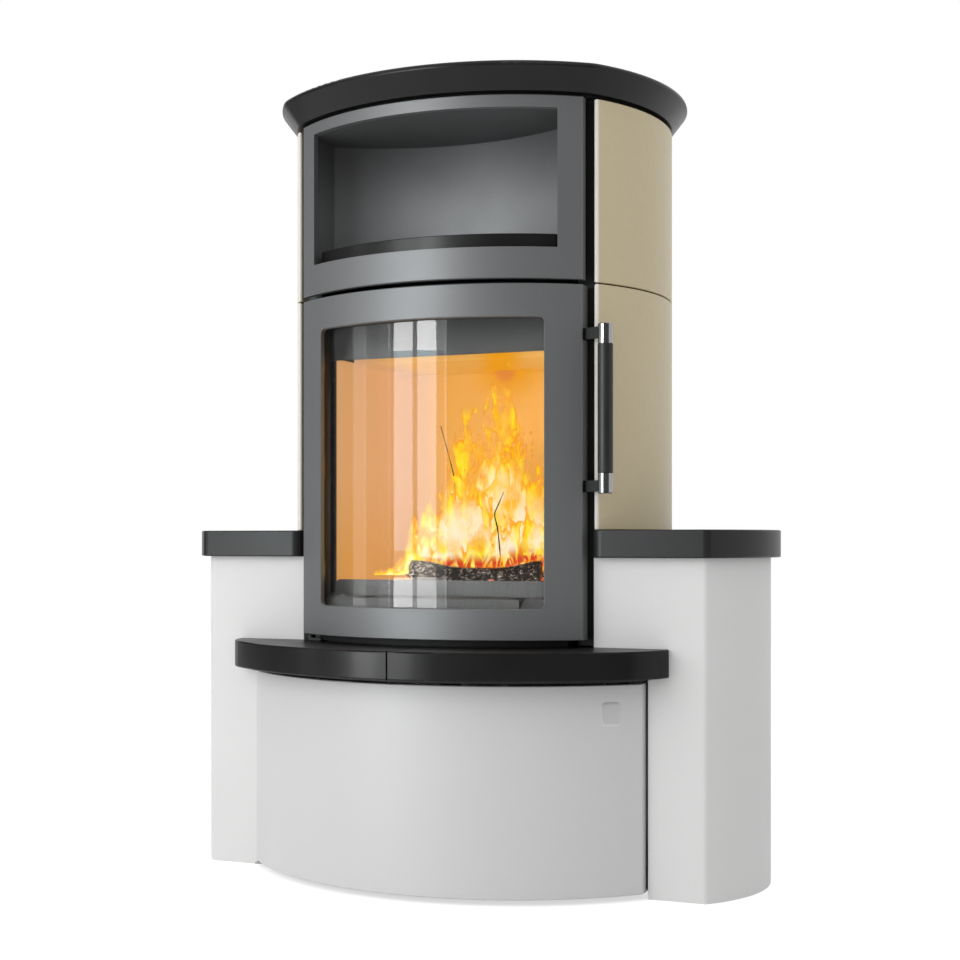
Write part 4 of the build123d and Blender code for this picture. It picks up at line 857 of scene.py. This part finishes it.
# ---------------------------------------------------------------- flames
def flames():
    """The fire's body: open upright sheets, one behind the other, each across the whole fire.
    A sheet's top follows how high the fire reaches at each place, and its depth swings to and
    fro with two slow waves."""
    depth = np.array([-0.052, -0.038, -0.004, 0.016, 0.036, 0.060, 0.086])
    share = np.array([0.34, 0.50, 0.74, 1.0, 0.90, 1.0, 0.84])
    root = np.array([0.037, 0.037, 0.036, 0.016, 0.012, 0.012, 0.012])
    spots_x = np.array([-0.150, -0.130, -0.122, -0.116, -0.079, -0.060, -0.050, -0.042, -0.017,
                        0.002, 0.024, 0.041, 0.060, 0.075, 0.090, 0.110, 0.137, 0.180])
    spots_top = np.array([0.010, 0.034, 0.070, 0.108, 0.132, 0.142, 0.190, 0.245, 0.252,
                          0.255, 0.275, 0.315, 0.345, 0.335, 0.275, 0.235, 0.218, 0.205])
    sheet, across, rise = grid(np.arange(7), np.linspace(0, 1, 90), np.linspace(0, 1.15, 36))
    x = -0.155 + 0.335 * across
    top = np.interp(x + 0.47 * (depth[sheet] - 0.03), spots_x, spots_top) * share[sheet]
    sag = np.where(sheet < 3, waist((x - FRONT_LOG_X) / FRONT_LOG_LENGTH), 0.0)
    foot = root[sheet] - 0.0125 * sag
    foot -= (foot - 0.012) * np.clip((-0.084 - x) / 0.012, 0, 1)
    z = HEARTH_TOP + foot + np.clip(top, 0.012, None) * rise
    y = depth[sheet] + 0.006 * np.sin(31 * x + 2.1 * sheet) + 0.005 * np.sin(24 * z + 1.3 * sheet)
    points = np.stack([x + 0.006 * np.sin(40 * z + sheet), y, z], -1)
    pattern = np.stack([x, rise], -1)
    faces = repeated(quads(90, 36), 90 * 36, 7)
    return piece("flames", points, faces, finishes["flame"], "root", pattern)


flames()


# ---------------------------------------------------------------- bare plate
def bare_plate():
    """The small bare plate on the base door: a box with round corners, bent to the door's bow.
    Its face falls off steeply at the rim."""
    middle = math.radians(41.0)
    half_wide, half_high, middle_z = 0.0173, 0.0195, 0.2965
    thick, sunk = 0.0012, 0.0003
    out, wide, high = round_box(24, 120, 5)
    angle = middle + half_wide * wide / BASE_DOOR_BOW
    radius = BASE_DOOR_BOW + thick * (1 - out**14) - sunk
    points = np.stack([radius * np.sin(angle), BOW_CENTRE_Y - radius * np.cos(angle),
                       middle_z + half_high * high], -1)
    points[0] = points[0].mean(0)
    plate = piece("base_door_plate", points, ring_quads(24, 120),
                  finishes["badge"], "base_door_body")
    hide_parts("badge_plate")


bare_plate()


# ---------------------------------------------------------------- door seal
def rope_seal():
    """The braided seal: an oval ring carried round a rounded rectangle that follows the door's
    bow. The ring's radius rises and falls where two sets of strands cross."""
    corner = 0.010
    half_x = SEAL_HALF - corner
    half_z = (SEAL_HIGH - SEAL_LOW) / 2 - corner
    middle_z = (SEAL_HIGH + SEAL_LOW) / 2
    long_run = np.linspace(0, 1, 330, endpoint=False)
    wide_run = np.linspace(0, 1, 280, endpoint=False)
    bend = np.linspace(0, math.pi / 2, 10, endpoint=False)
    sides = []
    for quarter, run, x0, z0, x1, z1 in (
        (0, long_run, half_x + corner, -half_z, half_x + corner, half_z),
        (1, wide_run, half_x, half_z + corner, -half_x, half_z + corner),
        (2, long_run, -half_x - corner, half_z, -half_x - corner, -half_z),
        (3, wide_run, -half_x, -half_z - corner, half_x, -half_z - corner),
    ):
        sides.append(np.stack([x0 + (x1 - x0) * run, z0 + (z1 - z0) * run], -1))
        middle = np.array([math.copysign(half_x, x1), math.copysign(half_z, z1)])
        angle = bend + quarter * math.pi / 2
        sides.append(middle + corner * np.stack([np.cos(angle), np.sin(angle)], -1))
    line = np.concatenate(sides)
    run = unit(np.roll(line, -1, 0) - np.roll(line, 1, 0))
    outward = np.stack([run[:, 1], -run[:, 0]], -1)
    length = np.concatenate([[0], np.cumsum(np.linalg.norm(np.diff(line, axis=0), axis=1))])
    around = circle(18)
    lay = length[:, None] * TURN / 0.0105
    strands = np.abs(np.cos(2 * around[None] + lay / 2)) * np.abs(np.cos(2 * around[None] - lay / 2))
    plump = 0.90 + 0.10 * strands
    flat = 0.0040 * np.cos(around)[None] * plump
    deep = 0.00180 * np.sin(around)[None] * plump
    x = line[:, None, 0] + outward[:, None, 0] * flat
    z = middle_z + line[:, None, 1] + outward[:, None, 1] * flat
    y = bow_y(SEAL_BOW, x) + deep
    points = np.stack([x, y, z], -1)
    pattern = np.stack(np.broadcast_arrays(length[:, None], around[None] * 0.004), -1)
    faces = quads(len(line), 18, round_rows=True, round_columns=True)[:, ::-1]
    rope = piece("door_rope_braid", points, faces, finishes["rope"], "fire_door",
                 pattern)
    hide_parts("door_rope_seal")


rope_seal()


# ---------------------------------------------------------------- screws
def screw_heads(name, spots, normals, radius, body):
    """Round screw heads with a hexagon socket: a profile of radius and height turned about each
    spot's normal, in twelve sides. Every second point of the socket's ring is drawn in."""
    profile = np.array([(1.0, 0.0), (1.0, 0.28), (0.86, 0.52), (0.56, 0.62), (0.46, 0.60),
                        (0.46, 0.22), (0.0, 0.20)]) * radius
    around = circle(12)
    draw = np.ones((7, 12))
    draw[4:6] = np.where(np.arange(12) % 2, 0.87, 1.0)
    spots, normals = np.array(spots), unit(np.array(normals, float))
    side = unit(np.cross(normals, (0.0, 0.0, 1.0)))
    over = np.cross(normals, side)
    out = profile[:, 0, None] * draw
    flat = (out * np.cos(around))[None, ..., None] * side[:, None, None]
    flat = flat + (out * np.sin(around))[None, ..., None] * over[:, None, None]
    points = spots[:, None, None] + flat
    points = points + profile[None, :, 1, None, None] * normals[:, None, None]
    faces = repeated(ring_quads(7, 12), 84, len(spots))[:, ::-1]
    return piece(name, points, faces, finishes["chrome"], body, smooth=False)


back_low, back_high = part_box("back_panel")
back_edge = back_high.x - 0.016
back_spots = [(x, back_high.y, z) for x in (-back_edge, back_edge)
              for z in np.linspace(back_low.z + 0.03, back_high.z - 0.03, 7)]
screw_heads("back_screws", back_spots, [(0, 1, 0)] * len(back_spots), 0.0045, "root")

CLIP_BOW = 0.3974          # radius of the inner face of the glass clips
clip_spots = [(x, float(bow_y(CLIP_BOW, x)), z) for x in (-0.2085, 0.2085)
              for z in (0.5145, 0.69225, 0.870)]
clip_normals = [(-x, math.sqrt(CLIP_BOW**2 - x**2), 0.0) for x, _, _ in clip_spots]
screw_heads("clip_screws", clip_spots, clip_normals, 0.0022, "fire_door")


# ---------------------------------------------------------------- floor, light and camera
def seen(tree):
    """1 where the camera sees a thing, also in gloss and through glass, and 0 for its light."""
    paths = tree.nodes.new("ShaderNodeLightPath")
    value = paths.outputs["Is Camera Ray"]
    for ray in ("Is Glossy Ray", "Is Transmission Ray"):
        most = tree.nodes.new("ShaderNodeMath")
        most.operation = "MAXIMUM"
        tree.links.new(value, most.inputs[0])
        tree.links.new(paths.outputs[ray], most.inputs[1])
        value = most.outputs[0]
    return value


def studio():
    """A pale floor that is white to the camera and keeps a soft shadow, and an even sky."""
    scene = bpy.context.scene
    scene.view_settings.view_transform = "Standard"
    floor = bpy.data.meshes.new("floor")
    reach = 6.0
    floor.from_pydata([(-reach, -reach, 0), (reach, -reach, 0), (reach, reach, 0),
                       (-reach, reach, 0)], [], [(0, 1, 2, 3)])
    pale = Finish("pale_floor", Roughness=0.9, Specular_IOR_Level=0.1)
    pale.colour(pale.blend(pale.noise(3.0), grey(0.70), grey(0.72)))
    white = pale.add("ShaderNodeEmission", {"Strength": pale.product(seen(pale.tree), 0.62)})
    both = pale.add("ShaderNodeAddShader", {0: pale.shader.outputs[0], 1: white.outputs[0]})
    pale.surface(both)
    floor.materials.append(pale.material)
    placed("floor", floor)

    scene.world = bpy.data.worlds.new("studio_sky")
    scene.world.use_nodes = True
    tree = scene.world.node_tree
    sky = tree.nodes["Background"]
    level = tree.nodes.new("ShaderNodeMapRange")
    tree.links.new(seen(tree), level.inputs["Value"])
    level.inputs["To Min"].default_value = 0.66
    level.inputs["To Max"].default_value = 1.0
    tree.links.new(level.outputs["Result"], sky.inputs["Strength"])
    sky.inputs["Color"].default_value = (1, 1, 1, 1)


def lamp(name, azimuth, distance, low, high, width, brightness, aim=(0.0, -0.1), looks=True,
         lights=True):
    """An upright rectangular lamp that faces the stove. Its azimuth counts from straight ahead,
    positive to the right; brightness is its radiance. Gloss shows it where looks is set, and
    matt surfaces catch its light where lights is set."""
    turn = math.radians(azimuth)
    data = bpy.data.lights.new(name, "AREA")
    data.shape = "RECTANGLE"
    data.size = width
    data.size_y = high - low
    data.energy = brightness * math.pi * width * (high - low)
    thing = placed(name, data)
    thing.location = (aim[0] + distance * math.sin(turn), aim[1] - distance * math.cos(turn),
                      (low + high) / 2)
    thing.rotation_euler = (math.pi / 2, 0, turn)
    thing.visible_camera = False
    thing.visible_glossy = looks
    thing.visible_diffuse = lights
    return thing


def dark_screen():
    """A dark screen bent round the front, which only gloss shows: an arc of a cylinder's side,
    given by the angle from straight ahead and the height."""
    radius = 3.4
    angle, height = grid(np.radians(np.linspace(-112, 74, 60)), np.linspace(0.0, 3.6, 6))
    points = np.stack([radius * np.sin(angle), -radius * np.cos(angle), height], -1)
    mesh = bpy.data.meshes.new("dark_screen")
    mesh.from_pydata(points.reshape(-1, 3).tolist(), [], quads(60, 6).tolist())
    cloth = Finish("dark_cloth", Base_Color=(0.0, 0.0, 0.0, 1), Specular_IOR_Level=0.0,
                   Emission_Color=(1, 1, 1, 1), Emission_Strength=0.13)
    mesh.materials.append(cloth.material)
    screen = placed("dark_screen", mesh)
    screen.visible_camera = screen.visible_diffuse = False
    screen.visible_transmission = screen.visible_shadow = False


studio()
dark_screen()
GLASS_SPOT = (-0.05, -0.17)     # the place on the plan that the strips face
PLAIN, WARM, COOL = (1, 1, 1), (1.0, 0.84, 0.70), (0.80, 1.0, 1.07)
STRIP_TINTS = (PLAIN, WARM, COOL, PLAIN, PLAIN)
STRIP_ENDS = (0.10, 0.45, 0.535, 1.17, 1.34, 2.45)     # heights between the tints
# The bright bands on the glass: azimuth, width and brightness of each part, from below
for strip, azimuth, width, levels in (
    ("broad_left", -33.5, 0.50, (23.0, 4.4, 7.8, 26.0, 6.0)),
    ("broad_right", -19.6, 0.48, (16.5, 4.0, 8.2, 33.0, 11.0)),
    ("gap", -26.4, 0.10, (4.0, 0.3, 0.3, 1.2, 1.0)),
    ("left_edge", -44.5, 0.34, (1.2, 0.4, 0.4, 0.4, 0.4)),
    ("thin_left", -42.2, 0.04, (4.0, 1.4, 1.4, 4.0, 1.0)),
    ("right_edge", -12.0, 0.20, (3.0, 0.4, 0.4, 2.4, 6.0)),
    ("thin_right", -9.0, 0.05, (4.0, 3.0, 3.0, 4.0, 1.0)),
):
    for low, high, tint, brightness in zip(STRIP_ENDS, STRIP_ENDS[1:], STRIP_TINTS, levels):
        panel = lamp(f"strip_{strip}_{low:.2f}", azimuth, 2.5, low, high, width, brightness,
                     GLASS_SPOT, lights=False)
        panel.data.color = tint
lamp("strip_faint_left", -62.0, 2.5, 0.1, 2.05, 0.40, 1.8, GLASS_SPOT, lights=False)
lamp("softbox_left", -34.0, 3.2, 0.4, 3.0, 2.9, 1.82, looks=False)

camera_data = bpy.data.cameras.new("camera")
camera_data.lens = 60.55
camera_data.sensor_width = 36.0
camera_data.sensor_fit = "HORIZONTAL"
camera_data.shift_y = 0.0622
camera = placed("camera", camera_data)
camera.location = (1.1105, -2.5467, 0.570)
camera.rotation_euler = (math.pi / 2, 0, math.radians(23))
bpy.context.scene.camera = camera
